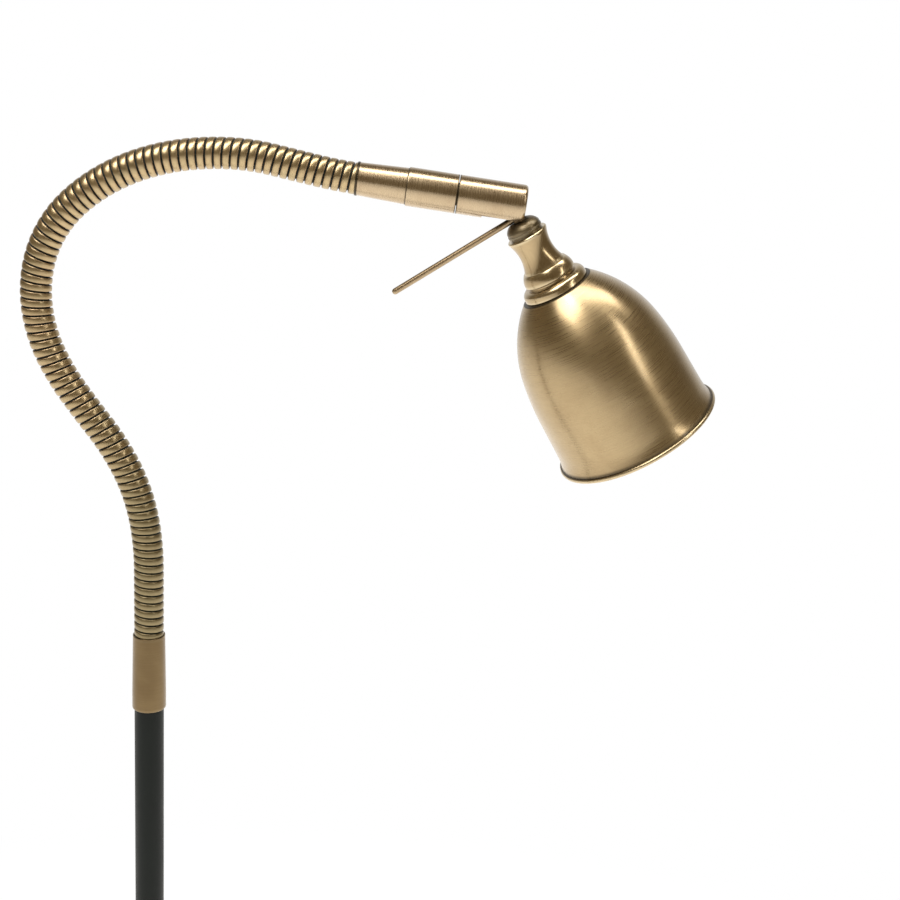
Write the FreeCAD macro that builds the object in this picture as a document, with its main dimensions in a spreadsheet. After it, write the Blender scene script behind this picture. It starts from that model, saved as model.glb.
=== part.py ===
import FreeCAD, Part
import math
import os
import Sketcher

# Gooseneck reading floor lamp, in millimetres.
# The origin is on the floor on the pole's axis, +Z is up, and the neck bends in the XZ plane
# towards +X. A round weighted base carries a straight pole. A ribbed gooseneck leaves the pole's
# top, and its far end holds a barrel whose front half swivels and carries the tilting bell shade.

SIZES = {
    # base
    "base_radius": 115.0,
    "base_height": 18.0,
    "base_edge_radius": 2.5,
    "cover_wall": 1.2,
    "cover_lift": 1.2,
    "pad_radius": 110.0,
    "pad_thickness": 1.5,
    "weight_gap": 0.4,
    "recess_radius": 17.0,
    "recess_top": 13.2,
    "channel_width": 6.6,
    "channel_top": 9.4,
    "cut_margin": 1.0,
    "grommet_neck_radius": 3.8,
    "grommet_flange_radius": 5.2,
    "grommet_flange_thickness": 1.2,
    "grommet_length": 4.0,
    "grommet_height": 6.4,
    # threaded tubes, nuts, washers
    "nipple_radius": 4.9,
    "nipple_bore": 3.3,
    "fit_gap": 0.05,
    "washer_radius": 10.0,
    "washer_thickness": 1.2,
    "nut_flats": 14.0,
    "nut_thickness": 2.8,
    "nipple_end": 0.3,
    "lead_radius": 2.4,
    "lead_height": 4.2,
    "lead_step_length": 9.0,
    "lead_bend": 4.6,
    # foot and pole
    "foot_height": 31.0,
    "foot_radius": 13.5,
    "foot_rim": 3.0,
    "foot_waist_radius": 7.7,
    "foot_waist_height": 17.0,
    "foot_top_radius": 10.2,
    "foot_top_round": 1.0,
    "foot_top_band": 3.2,
    "foot_socket_depth": 3.0,
    "pole_radius": 7.0,
    "pole_wall": 1.0,
    "pole_length": 1334.0,
    "foot_insert_length": 18.0,
    # sleeve and socket at the pole's top
    "socket_shank": 25.0,
    "socket_flange": 3.0,
    "socket_nose": 7.0,
    "sleeve_gap": 0.15,
    "sleeve_below": 30.0,
    "sleeve_length": 38.0,
    "sleeve_wall": 0.9,
    "sleeve_top_wall": 0.45,
    "sleeve_taper_start": 9.0,
    "sleeve_round": 0.8,
    # gooseneck, as wide over its ribs as the pole
    "link_length": 18.83,
    "rib_radius": 1.3,
    "core_bore": 4.0,
    "core_wall": 1.6,
    "link_gap": 1.1,
    "link_flange": 1.2,
    "nose_gap": 0.3,
    "nose_bore": 2.3,
    # ferrule and rear barrel
    "ferrule_length": 22.1,
    "ferrule_start_overhang": 0.2,
    "ferrule_end_inset": 0.5,
    "ferrule_ring": 1.1,
    "ferrule_ring_overhang": 0.45,
    "ferrule_plug": 3.8,
    "barrel_radius": 8.5,
    "barrel_wall": 1.2,
    "rear_barrel_length": 22.1,
    "rear_barrel_floor": 3.0,
    "spigot_radius": 5.0,
    "spigot_reach": 3.7,
    "ferrule_nut_gap": 0.26,
    "ferrule_nut_thickness": 3.0,
    "seam_gap": 0.3,
    # swivel
    "bush_length": 9.5,
    "bush_inset": 0.9,
    "shaft_radius": 5.0,
    "shaft_running_gap": 0.06,
    "shaft_flange": 4.0,
    "shaft_tail_radius": 3.9,
    "shaft_tail": 3.6,
    "shaft_washer_gap": 0.7,
    "shaft_washer_thickness": 0.6,
    "shaft_washer_clear": 0.12,
    "shaft_nut_flats": 10.5,
    "shaft_nut_thickness": 2.6,
    # front barrel and tilt pivot
    "front_barrel_length": 30.3,
    "front_barrel_floor": 1.5,
    "front_barrel_round": 1.6,
    "pivot_inset": 7.6,
    "slot_clear": 1.4,
    "slot_back": 11.0,
    "slot_above": 3.6,
    "cradle_back": 12.0,
    "cradle_web": 5.0,
    "pin_radius": 1.5,
    "pin_inset": 0.55,
    "friction_washer_radius": 4.6,
    "friction_washer_thickness": 0.5,
    "friction_washer_slack": 0.05,
    # tilt knuckle, cup and rod
    "knuckle_radius": 5.4,
    "knuckle_half_width": 3.0,
    "stem_radius": 2.6,
    "stem_in_cup": 3.9,
    "cup_start": 9.4,
    "cup_neck_radius": 3.8,
    "cup_dome_arc": 5.5,
    "cup_radius": 7.9,
    "cup_dome_height": 3.4,
    "cup_wall_height": 1.2,
    "cup_lip_radius": 8.1,
    "cup_lip": 0.9,
    "cup_groove_radius": 7.4,
    "cup_groove": 1.2,
    "rod_radius": 1.45,
    "rod_gap": 0.25,
    "rod_root": 0.6,
    "rod_reach": 66.0,
    "rod_lean": 2.75,
    # turned neck, bead ring and cap ring, each standing on the one before
    "neck_waist_radius": 7.9,
    "lip_overhang": 1.6,
    "lip_edge": 0.5,
    "lip_height": 1.6,
    "lower_cove": 7.1,
    "upper_cove": 7.9,
    "upper_cove_overhang": 1.9,
    "bead_start_radius": 10.3,
    "bead_radius": 12.15,
    "bead_arc": 9.0,
    "bead_rise": 4.5,
    "bead_brim": 0.8,
    "bead_slope": 0.4,
    "bead_groove": 1.2,
    "bead_groove_radius": 10.9,
    "cap_start_radius": 12.4,
    "cap_flange_radius": 15.1,
    "cap_arc": 3.2,
    "cap_rise": 2.4,
    "cap_brim": 2.0,
    "cap_brim_overhang": 0.25,
    "cap_edge": 0.5,
    "cap_edge_inset": 0.35,
    # bell shade: each stretch's rise and how far it widens
    "shade_wall": 0.8,
    "shade_shoulder_radius": 16.5,
    "shade_dome_radius": 34.4,
    "shade_dome_rise": 31.8,
    "shade_dome_arc": 59.3,
    "shade_side_overhang": 2.5,
    "shade_side_rise": 21.2,
    "shade_side_arc": 132.0,
    "shade_skirt_overhang": 0.7,
    "shade_skirt_rise": 18.9,
    "shade_flare_overhang": 1.4,
    "shade_flare_rise": 7.4,
    "shade_flare_arc": 25.5,
    "rim_bead_radius": 1.1,
    "rim_bead_rise": 0.6,
    # lampholder and lamp
    "head_nipple_gap": 0.4,
    "head_nipple_reach": 4.4,
    "strap_radius": 13.5,
    "strap_thickness": 1.2,
    "screw_offset": 10.4,
    "screw_radius": 1.5,
    "screw_head_radius": 2.6,
    "screw_head": 2.0,
    "screw_sunk": 3.0,
    "holder_foot_radius": 3.0,
    "holder_gap": 1.0,
    "holder_radius": 14.2,
    "holder_length": 15.5,
    "holder_pin_hole": 2.8,
    "lamp_pin_radius": 2.4,
    "lamp_pin_offset": 5.0,
    "lamp_pin_length": 5.0,
    "lamp_gap": 0.3,
    "lamp_base_radius": 9.8,
    "lamp_base_length": 8.0,
    "lamp_wall": 1.1,
    "lamp_front_radius": 25.0,
    "lamp_reflector_rise": 32.3,
    "lamp_reflector_arc": 46.0,
    "lamp_front_rim": 6.4,
    "lens_thickness": 2.2,
    "lead_wire_radius": 1.1,
    "lead_wire_offset": 1.7,
    # how the lamp is posed
    "swivel_rest": 8.4,
    "tilt_rest": 52.0,
}

# The turn of each neck link in degrees, from the pole up: positive bends towards +X.
NECK_TURNS = [
    0, 0, -7, -10.5, -12, -8.5, 2, 10.5, 16, 17.5, 19.5, 19, 13, 11.5, 10, 9, 10.5, 0, -5,
]
RIBS_PER_LINK = 5
FULL_TURN = 360
HEX_SIDES = 6


class Dim:
    """A length that knows both its value and the expression that ties it to the sheet."""

    def __init__(self, text, value):
        self.text = text
        self.value = value

    def joined(self, sign, other, value):
        return Dim(f"({self.text} {sign} {as_dim(other).text})", value)

    def __add__(self, other):
        return self.joined("+", other, self.value + as_dim(other).value)

    def __sub__(self, other):
        return self.joined("-", other, self.value - as_dim(other).value)

    def __mul__(self, other):
        return self.joined("*", other, self.value * as_dim(other).value)

    def __truediv__(self, other):
        return self.joined("/", other, self.value / as_dim(other).value)


def as_dim(number):
    return number if isinstance(number, Dim) else Dim(repr(float(number)), float(number))


doc = FreeCAD.newDocument("ReadingLamp")
sheet = doc.addObject("Spreadsheet::Sheet", "Sizes")
for row, (alias, number) in enumerate(SIZES.items(), start=1):
    sheet.set(f"A{row}", alias)
    sheet.set(f"B{row}", str(number))
    sheet.setAlias(f"B{row}", alias)
doc.recompute()

nodes = {}


def size(alias):
    return Dim(f"Sizes.{alias}", float(sheet.get(alias)))


def bind(thing, **sizes):
    """Ties properties of a primitive to the sheet."""
    for name, dim in sizes.items():
        setattr(thing, name, as_dim(dim).value)
        thing.setExpression(name, as_dim(dim).text)


def keep(thing, label, place=None):
    """Names a finished sub-part and puts it in its place."""
    thing.Label = label
    if place is not None:
        thing.Placement = place
    nodes[label] = thing
    return thing


# ---------------------------------------------------------------- sketches and turned pieces

def left(radius):
    """An arc with its centre on the left of the way along the outline."""
    return (as_dim(radius), 1)


def right(radius):
    """An arc with its centre on the right of the way along the outline."""
    return (as_dim(radius), -1)


def hollow(rise, run):
    """The radius of an arc that leaves a waist square and comes out by rise over a run."""
    return (rise * rise + run * run) / (rise * 2)


def arc_middle(start, end, radius, side):
    chord = end - start
    half = chord.Length / 2
    normal = FreeCAD.Vector(-chord.y, chord.x, 0).normalize() * side
    centre = start + chord / 2 + normal * math.sqrt(max(radius * radius - half * half, 0))
    return centre - normal * radius


def outline(body, name, corners, plane="XZ_Plane"):
    """A closed sketch through corners (x, y) or (x, y, arc to the next corner)."""
    sketch = body.newObject("Sketcher::SketchObject", name)
    face = next(item for item in body.Origin.OriginFeatures if item.Role == plane)
    sketch.AttachmentSupport = [(face, "")]
    sketch.MapMode = "FlatFace"
    points = [FreeCAD.Vector(as_dim(c[0]).value, as_dim(c[1]).value, 0) for c in corners]
    ends = []
    for index, corner in enumerate(corners):
        start = points[index]
        end = points[(index + 1) % len(points)]
        if len(corner) == 3:
            radius, side = corner[2]
            middle = arc_middle(start, end, radius.value, side)
            edge = sketch.addGeometry(Part.Arc(start, middle, end), False)
            rule = sketch.addConstraint(Sketcher.Constraint("Radius", edge, radius.value))
            sketch.setExpression(f"Constraints[{rule}]", radius.text)
        else:
            edge = sketch.addGeometry(Part.LineSegment(start, end), False)
        first = 1 if (sketch.getPoint(edge, 1) - start).Length < 1e-6 else 2
        ends.append((edge, first, 3 - first))
    for index, (edge, first, last) in enumerate(ends):
        following, entry, _ = ends[(index + 1) % len(ends)]
        sketch.addConstraint(Sketcher.Constraint("Coincident", edge, last, following, entry))
        for axis, kind, dim in ((-2, "DistanceX", corners[index][0]), (-1, "DistanceY", corners[index][1])):
            dim = as_dim(dim)
            if dim.value == 0:
                sketch.addConstraint(Sketcher.Constraint("PointOnObject", edge, first, axis))
                continue
            rule = sketch.addConstraint(Sketcher.Constraint(kind, -1, 1, edge, first, dim.value))
            sketch.setExpression(f"Constraints[{rule}]", dim.text)
    return sketch


def turned(name, corners):
    """A body turned about its own Z axis from an outline of (radius, height) corners."""
    body = doc.addObject("PartDesign::Body", name)
    sketch = outline(body, name + "_outline", corners)
    turn = body.newObject("PartDesign::Revolution", name + "_turn")
    turn.Profile = sketch
    turn.ReferenceAxis = (sketch, ["V_Axis"])
    turn.Angle = FULL_TURN
    return body


def tube(name, inner, outer, low, high):
    """A plain ring or, with no inner radius, a disc."""
    return turned(name, [(inner, low), (outer, low), (outer, high), (inner, high)])


# ---------------------------------------------------------------- primitives

def cylinder(name, radius, height, place=None):
    rod = doc.addObject("Part::Cylinder", name)
    bind(rod, Radius=radius, Height=height)
    if place is not None:
        rod.Placement = place
    return rod


def box(name, low, span):
    """A box from its low corner, both in millimetres on the piece's own axes."""
    block = doc.addObject("Part::Box", name)
    bind(block, Length=span[0], Width=span[1], Height=span[2])
    block.Placement.Base = FreeCAD.Vector(*[as_dim(value).value for value in low])
    for axis, dim in zip("xyz", low):
        block.setExpression(f"Placement.Base.{axis}", as_dim(dim).text)
    return block


def cut(name, base, tools):
    """The base with every tool taken away, one after another."""
    result = base
    for number, tool in enumerate(tools, start=1):
        step = doc.addObject("Part::Cut", f"{name}_cut{number}")
        step.Base = result
        step.Tool = tool
        result = step
    return result


def fuse(name, shapes):
    joined = doc.addObject("Part::MultiFuse", name + "_fuse")
    joined.Shapes = shapes
    return joined


def hex_nut(name, flats, bore, low, thickness):
    """A hexagon nut on the piece's own Z axis."""
    prism = doc.addObject("Part::Prism", name + "_hex")
    prism.Polygon = HEX_SIDES
    bind(prism, Circumradius=flats / math.sqrt(3), Height=thickness)
    prism.Placement.Base.z = low.value
    prism.setExpression("Placement.Base.z", low.text)
    hole = cylinder(name + "_bore", bore, thickness * 3)
    hole.Placement.Base.z = (low - thickness).value
    hole.setExpression("Placement.Base.z", (low - thickness).text)
    return cut(name, prism, [hole])


def along(direction, base):
    """A placement whose Z axis runs along a direction, from a base point."""
    return FreeCAD.Placement(base, FreeCAD.Rotation(FreeCAD.Vector(0, 0, 1), direction))


# ---------------------------------------------------------------- base, foot and pole

fit = size("fit_gap")
pad_top = size("pad_thickness")
cut_margin = size("cut_margin")
cover_top = size("base_height")
weight_top = cover_top - size("cover_wall") - size("weight_gap")
recess_top = size("recess_top")
nut_high = recess_top - size("washer_thickness")
nut_low = nut_high - size("nut_thickness")
nipple_low = nut_low - size("nipple_end")
foot_top = cover_top + size("foot_height")
pole_low = foot_top - size("foot_socket_depth")
pole_top = pole_low + size("pole_length")
insert_top = pole_low + size("foot_insert_length")


def make_base():
    keep(tube("floor_pad", 0, size("pad_radius"), 0, pad_top), "floor_pad")

    inner = size("base_radius") - size("cover_wall")
    edge = size("base_edge_radius")
    hole = size("nipple_radius") + fit
    cover = turned("cover_shell", [
        (inner, size("cover_lift")),
        (size("base_radius"), size("cover_lift")),
        (size("base_radius"), cover_top - edge, left(edge)),
        (size("base_radius") - edge, cover_top),
        (hole, cover_top),
        (hole, cover_top - size("cover_wall")),
        (size("base_radius") - edge, cover_top - size("cover_wall"), right(edge - size("cover_wall"))),
        (inner, cover_top - edge),
    ])
    grommet_z = size("grommet_height")
    opening = cylinder("cover_cord_hole", size("grommet_neck_radius") + fit, size("base_radius"))
    opening.Placement = along(FreeCAD.Vector(-1, 0, 0), FreeCAD.Vector(-inner.value / 2, 0, grommet_z.value))
    keep(cut("base_cover", cover, [opening]), "base_cover")

    weight_radius = inner - size("weight_gap")
    step = edge
    weight = turned("weight_casting", [
        (size("recess_radius"), pad_top),
        (weight_radius, pad_top),
        (weight_radius, weight_top - step),
        (weight_radius - step, weight_top),
        (hole, weight_top),
        (hole, recess_top),
        (size("recess_radius"), recess_top),
    ])
    width = size("channel_width")
    channel = box("weight_channel", (size("base_radius") * -1, width / -2, pad_top - cut_margin),
                  (size("base_radius"), width, size("channel_top") - pad_top + cut_margin))
    pocket = cylinder("weight_grommet_pocket", size("grommet_neck_radius") + size("weight_gap"),
                      size("base_radius"))
    start = (weight_radius - size("grommet_length")).value
    pocket.Placement = along(FreeCAD.Vector(-1, 0, 0), FreeCAD.Vector(-start, 0, grommet_z.value))
    keep(cut("base_weight", weight, [channel, pocket]), "base_weight")

    bore = size("lead_radius") + fit
    flange = size("grommet_flange_radius")
    neck = size("grommet_neck_radius")
    length = size("grommet_length")
    flange_end = length + size("grommet_flange_thickness")
    grommet = turned("cord_grommet", [
        (bore, 0),
        (neck, 0),
        (neck, length),
        (flange, length),
        (flange, flange_end - size("grommet_flange_thickness") / 2),
        (flange - size("grommet_flange_thickness") / 2, flange_end),
        (bore, flange_end),
    ])
    seat = (size("base_radius") - length + fit).value
    keep(grommet, "cord_grommet", along(FreeCAD.Vector(-1, 0, 0), FreeCAD.Vector(-seat, 0, grommet_z.value)))


def make_foot():
    thread = size("nipple_radius")
    keep(tube("base_washer", thread + fit, size("washer_radius"), nut_high, recess_top), "base_washer")
    keep(hex_nut("base_nut", size("nut_flats"), thread + fit, nut_low, size("nut_thickness")), "base_nut")
    keep(tube("foot_nipple", size("nipple_bore"), thread, nipple_low, insert_top), "foot_nipple")

    bore = thread + fit
    rim = size("foot_rim")
    waist = cover_top + size("foot_waist_height")
    waist_radius = size("foot_waist_radius")
    band_low = foot_top - size("foot_top_band")
    band_radius = size("foot_top_radius")
    band_edge = band_radius - size("foot_top_round")
    flare = hollow(size("foot_radius") - waist_radius, waist - cover_top - rim)
    neck_flare = hollow(band_edge - waist_radius, band_low - waist)
    foot = turned("foot_turning", [
        (bore, cover_top),
        (size("foot_radius"), cover_top),
        (size("foot_radius"), cover_top + rim, right(flare)),
        (waist_radius, waist, right(neck_flare)),
        (band_edge, band_low),
        (band_radius, band_low + size("foot_top_band") / 3),
        (band_radius, foot_top - size("foot_top_band") / 3),
        (band_edge, foot_top),
        (size("pole_radius") + fit, foot_top),
        (size("pole_radius") + fit, pole_low),
        (bore, pole_low),
    ])
    keep(foot, "foot_turning")
    pole_bore = size("pole_radius") - size("pole_wall")
    keep(tube("pole_foot_insert", bore, pole_bore - fit, pole_low, insert_top), "pole_foot_insert")
    keep(tube("pole", pole_bore, size("pole_radius"), pole_low, pole_top), "pole")


def make_pole_top():
    pole_bore = size("pole_radius") - size("pole_wall")
    flange_top = pole_top + size("socket_flange")
    bore = size("lead_radius") + fit
    plug = size("core_bore") - fit
    socket = turned("neck_socket", [
        (bore, pole_top - size("socket_shank")),
        (pole_bore - fit, pole_top - size("socket_shank")),
        (pole_bore - fit, pole_top),
        (size("pole_radius"), pole_top),
        (size("pole_radius"), flange_top),
        (plug, flange_top),
        (plug, flange_top + size("socket_nose")),
        (bore, flange_top + size("socket_nose")),
    ])
    keep(socket, "neck_socket")

    bore = size("pole_radius") + size("sleeve_gap")
    low = pole_top - size("sleeve_below")
    high = low + size("sleeve_length")
    wide = bore + size("sleeve_wall")
    rounding = size("sleeve_round")
    sleeve = turned("neck_sleeve", [
        (bore, low),
        (wide - rounding, low, left(rounding)),
        (wide, low + rounding),
        (wide, low + size("sleeve_taper_start")),
        (bore + size("sleeve_top_wall"), high),
        (bore, high),
    ])
    keep(sleeve, "neck_sleeve")


def make_inner_lead():
    """The mains lead's stretch inside the stand: in at the back, then up the pole."""
    inlet = FreeCAD.Vector(-(size("base_radius") - size("grommet_length")).value, 0,
                           size("grommet_height").value)
    drop = size("grommet_height").value - size("lead_height").value
    step = size("lead_step_length").value
    sag = 2 * math.degrees(math.atan(drop / step))
    arc = step / 2 * math.radians(sag) / math.sin(math.radians(sag))
    bend = size("lead_bend").value
    rise = (pole_top + size("socket_flange")).value - size("lead_height").value - bend
    level = -inlet.x - step - bend
    steps = [(arc, sag), (arc, -sag), (level, 0), (bend * math.pi / 2, -90), (rise, 0)]
    place = along(FreeCAD.Vector(1, 0, 0), inlet)
    edges = []
    for length, turn in steps:
        middle = walk(place, length / 2, turn, length)
        end = walk(place, length, turn, length)
        if turn == 0:
            edges.append(Part.LineSegment(place.Base, end.Base).toShape())
        else:
            edges.append(Part.Arc(place.Base, middle.Base, end.Base).toShape())
        place = end
    ring = Part.Wire(Part.makeCircle(size("lead_radius").value, inlet, FreeCAD.Vector(1, 0, 0)))
    lead = doc.addObject("Part::Feature", "inner_lead")
    lead.Shape = Part.Wire(edges).makePipeShell([ring], True, False)
    keep(lead, "inner_lead")


# ---------------------------------------------------------------- gooseneck

def walk(place, distance, turn, length):
    """The placement a distance along a link that turns by so many degrees over its length."""
    if turn == 0:
        return place.multiply(FreeCAD.Placement(FreeCAD.Vector(0, 0, distance), FreeCAD.Rotation()))
    radius = length / math.radians(turn)
    angle = turn * distance / length
    shift = FreeCAD.Vector(radius * (1 - math.cos(math.radians(angle))), 0,
                           radius * math.sin(math.radians(angle)))
    return place.multiply(FreeCAD.Placement(shift, FreeCAD.Rotation(FreeCAD.Vector(0, 1, 0), angle)))


def bent_rod(name, radius, length, turn, start, end):
    """A round rod along part of a link's arc, from one distance along it to another."""
    if turn == 0:
        rod = cylinder(name, radius, end - start)
        rod.Placement.Base.z = start.value
        return rod
    rod = doc.addObject("Part::Torus", name)
    side = math.copysign(1, turn)
    bind(rod, Radius1=length / math.radians(abs(turn)), Radius2=radius)
    rod.Angle3 = abs(turn) * ((end - start) / length).value
    rod.setExpression("Angle3", f"{abs(turn)} * {((end - start) / length).text}")
    onto_arc = FreeCAD.Rotation(FreeCAD.Vector(-side, 0, 0), FreeCAD.Vector(0, 0, 1),
                                FreeCAD.Vector(0, side, 0), "ZXY")
    centre = FreeCAD.Vector(side * (length / math.radians(abs(turn))).value, 0, 0)
    wind = FreeCAD.Rotation(FreeCAD.Vector(0, 0, 1), abs(turn) * (start / length).value)
    rod.Placement = FreeCAD.Placement(centre, onto_arc).multiply(
        FreeCAD.Placement(FreeCAD.Vector(), wind))
    return rod


def make_link(number, turn, place, last):
    """One stretch of the gooseneck: a curved tube, its ribs and the ball nose into the next."""
    name = f"neck_link_{number:02d}"
    length = size("link_length")
    half_gap = size("link_gap") / 2
    end = length - half_gap
    here = FreeCAD.Placement()
    core_radius = size("core_bore") + size("core_wall")
    nose_radius = size("core_bore") - size("nose_gap")
    core = bent_rod(name + "_core", core_radius, length, turn, half_gap, end)
    bore_end = end + half_gap if last else end - size("link_flange")
    bore = bent_rod(name + "_bore", size("core_bore"), length, turn, as_dim(0), bore_end)
    shapes = [cut(name + "_tube", core, [bore])]
    for rib in range(RIBS_PER_LINK):
        ring = doc.addObject("Part::Torus", f"{name}_rib{rib + 1}")
        bind(ring, Radius1=size("pole_radius") - size("rib_radius"), Radius2=size("rib_radius"))
        ring.Placement = walk(here, length.value * (rib + 0.5) / RIBS_PER_LINK, turn, length.value)
        shapes.append(ring)
    if last:
        keep(fuse(name, shapes), name, place)
        return
    ball = doc.addObject("Part::Sphere", name + "_nose")
    bind(ball, Radius=nose_radius)
    ball.Placement = walk(here, length.value, turn, length.value)
    shapes.append(ball)
    reach = nose_radius * 4
    hole = cylinder(name + "_nose_bore", size("nose_bore"), reach)
    middle = FreeCAD.Placement(FreeCAD.Vector(0, 0, -reach.value / 2), FreeCAD.Rotation())
    hole.Placement = ball.Placement.multiply(middle)
    keep(cut(name, fuse(name, shapes), [hole]), name, place)


def make_neck():
    """Chains the links from the pole's top and gives back the placement of the neck's far end."""
    start = (pole_top + size("socket_flange") - size("link_gap") / 2).value
    place = FreeCAD.Placement(FreeCAD.Vector(0, 0, start), FreeCAD.Rotation())
    for number, turn in enumerate(NECK_TURNS, start=1):
        make_link(number, turn, place, number == len(NECK_TURNS))
        place = walk(place, size("link_length").value, turn, size("link_length").value)
    return place


# ---------------------------------------------------------------- arm: everything on the barrel's axis

half_gap = size("link_gap") / 2
rear_start = size("ferrule_length")
rear_floor = rear_start + size("rear_barrel_floor")
rear_end = rear_start + size("rear_barrel_length")
front_start = rear_end + size("seam_gap")
front_end = front_start + size("front_barrel_length")
pivot_height = front_end - size("pivot_inset")
barrel_bore = size("barrel_radius") - size("barrel_wall")
shaft_bore = size("nose_bore")


def make_arm(place):
    bore = size("nose_bore")
    plug = size("core_bore") - fit
    base = half_gap * -1
    ring_radius = size("pole_radius") + size("ferrule_ring_overhang")
    ferrule = turned("upper_ferrule", [
        (bore, base - size("ferrule_plug")),
        (plug, base - size("ferrule_plug")),
        (plug, base),
        (ring_radius, base),
        (ring_radius, base + size("ferrule_ring")),
        (size("pole_radius") + size("ferrule_start_overhang"), base + size("ferrule_ring")),
        (size("barrel_radius") - size("ferrule_end_inset"), rear_start),
        (size("spigot_radius"), rear_start),
        (size("spigot_radius"), rear_floor + size("spigot_reach")),
        (bore, rear_floor + size("spigot_reach")),
    ])
    keep(ferrule, "upper_ferrule", place)
    nut_flats = (barrel_bore - size("ferrule_nut_gap")) * math.sqrt(3)
    nut = hex_nut("ferrule_nut", nut_flats, size("spigot_radius") + fit, rear_floor,
                  size("ferrule_nut_thickness"))
    keep(nut, "ferrule_nut", place)
    barrel = turned("barrel_rear", [
        (size("spigot_radius") + fit, rear_start),
        (size("barrel_radius"), rear_start),
        (size("barrel_radius"), rear_end),
        (barrel_bore, rear_end),
        (barrel_bore, rear_floor),
        (size("spigot_radius") + fit, rear_floor),
    ])
    keep(barrel, "barrel_rear", place)
    bush_end = rear_end - size("bush_inset")
    bush = tube("swivel_bush", size("shaft_radius") + size("shaft_running_gap"), barrel_bore - fit,
                bush_end - size("bush_length"), bush_end)
    keep(bush, "swivel_bush", place)


def make_swivel(place):
    bush_low = rear_end - size("bush_inset") - size("bush_length")
    washer_high = bush_low - size("shaft_washer_clear")
    washer_low = washer_high - size("shaft_washer_thickness")
    shoulder = washer_high
    shaft = turned("swivel_shaft", [
        (shaft_bore, shoulder - size("shaft_tail")),
        (size("shaft_tail_radius"), shoulder - size("shaft_tail")),
        (size("shaft_tail_radius"), shoulder),
        (size("shaft_radius"), shoulder),
        (size("shaft_radius"), front_start),
        (barrel_bore - fit, front_start),
        (barrel_bore - fit, front_start + size("shaft_flange")),
        (shaft_bore, front_start + size("shaft_flange")),
    ])
    keep(shaft, "swivel_shaft", place)
    tail = size("shaft_tail_radius") + fit
    washer = tube("shaft_washer", tail, barrel_bore - size("shaft_washer_gap"), washer_low, washer_high)
    keep(washer, "shaft_washer", place)
    nut = hex_nut("shaft_nut", size("shaft_nut_flats"), tail, washer_low - size("shaft_nut_thickness"),
                  size("shaft_nut_thickness"))
    keep(nut, "shaft_nut", place)

    outer = size("barrel_radius")
    rounding = size("front_barrel_round")
    shell = turned("front_barrel_shell", [
        (barrel_bore, front_start),
        (outer, front_start),
        (outer, front_end - rounding, left(rounding)),
        (outer - rounding, front_end),
        (0, front_end),
        (0, front_end - size("front_barrel_floor")),
        (barrel_bore, front_end - size("front_barrel_floor")),
    ])
    width = size("cup_neck_radius") + size("slot_clear")
    slot_low = pivot_height - size("slot_back")
    slot = box("front_barrel_slot", (0, width * -1, slot_low), (outer * 2, width * 2, outer * 4))
    window = box("front_barrel_window", (size("slot_above") * -1, width * -1, pivot_height),
                 (outer * 2, width * 2, outer * 2))
    keep(cut("barrel_front", shell, [slot, window]), "barrel_front", place)

    cradle_low = pivot_height - size("cradle_back")
    cradle_high = front_end - size("front_barrel_floor")
    block = tube("cradle_block", 0, barrel_bore - fit, cradle_low, cradle_high)
    thick = size("friction_washer_thickness")
    slack = size("friction_washer_slack")
    cheek = size("knuckle_half_width") + thick + slack * 2
    mouth = box("cradle_mouth", (outer * -1, cheek * -1, cradle_low + size("cradle_web")),
                (outer * 2, cheek * 2, outer * 4))
    lead_hole = cylinder("cradle_lead_hole", shaft_bore, outer * 2)
    lead_hole.Placement.Base.z = (cradle_low - cut_margin).value
    across = FreeCAD.Rotation(FreeCAD.Vector(1, 0, 0), -90)
    pin_length = (barrel_bore - fit - size("pin_inset")) * 2
    pin_hole = cylinder("cradle_pin_hole", size("pin_radius") + fit / 2, pin_length)
    pin_base = FreeCAD.Vector(0, -pin_length.value / 2, pivot_height.value)
    pin_hole.Placement = FreeCAD.Placement(pin_base, across)
    keep(cut("knuckle_cradle", block, [mouth, lead_hole, pin_hole]), "knuckle_cradle", place)
    pin = cylinder("pivot_pin", size("pin_radius"), pin_length)
    keep(pin, "pivot_pin", place.multiply(FreeCAD.Placement(pin_base, across)))

    rings = []
    for side in (-1, 1):
        disc = cylinder(f"friction_disc{side}", size("friction_washer_radius"), thick)
        hole = cylinder(f"friction_hole{side}", size("pin_radius") + fit, thick * 3)
        low = (size("knuckle_half_width") + slack).value
        if side < 0:
            low = -low - thick.value
        disc.Placement = FreeCAD.Placement(FreeCAD.Vector(0, low, pivot_height.value), across)
        hole.Placement = FreeCAD.Placement(FreeCAD.Vector(0, low - thick.value, pivot_height.value), across)
        rings.append(cut(f"friction_ring{side}", disc, [hole]))
    keep(fuse("friction_washers", rings), "friction_washers", place)


# ---------------------------------------------------------------- head: heights from the tilt pin

stem_end = size("cup_start") + size("stem_in_cup")
cup_cone_end = size("cup_start") + size("cup_dome_height")
lip_low = cup_cone_end + size("cup_wall_height")
groove_low = lip_low + size("cup_lip")
cup_end = groove_low + size("cup_groove")
lip_top = cup_end + size("lip_height")
waist = lip_top + size("lower_cove")
neck_turning_end = waist + size("upper_cove")
bead_brim = neck_turning_end + size("bead_rise")
bead_slope = bead_brim + size("bead_brim")
bead_groove = bead_slope + size("bead_slope")
bead_end = bead_groove + size("bead_groove")
cap_flange = bead_end + size("cap_rise")
cap_brim = cap_flange + size("cap_brim")
cap_top = cap_brim + size("cap_edge")
shade_inside = cap_top + size("shade_wall")
strap_top = shade_inside + size("strap_thickness")
holder_nut_top = strap_top + size("nut_thickness")
holder_low = holder_nut_top + size("holder_gap")
holder_high = holder_low + size("holder_length")
lamp_low = holder_high + size("lamp_gap")
thread_bore = size("nipple_radius") + fit


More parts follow.
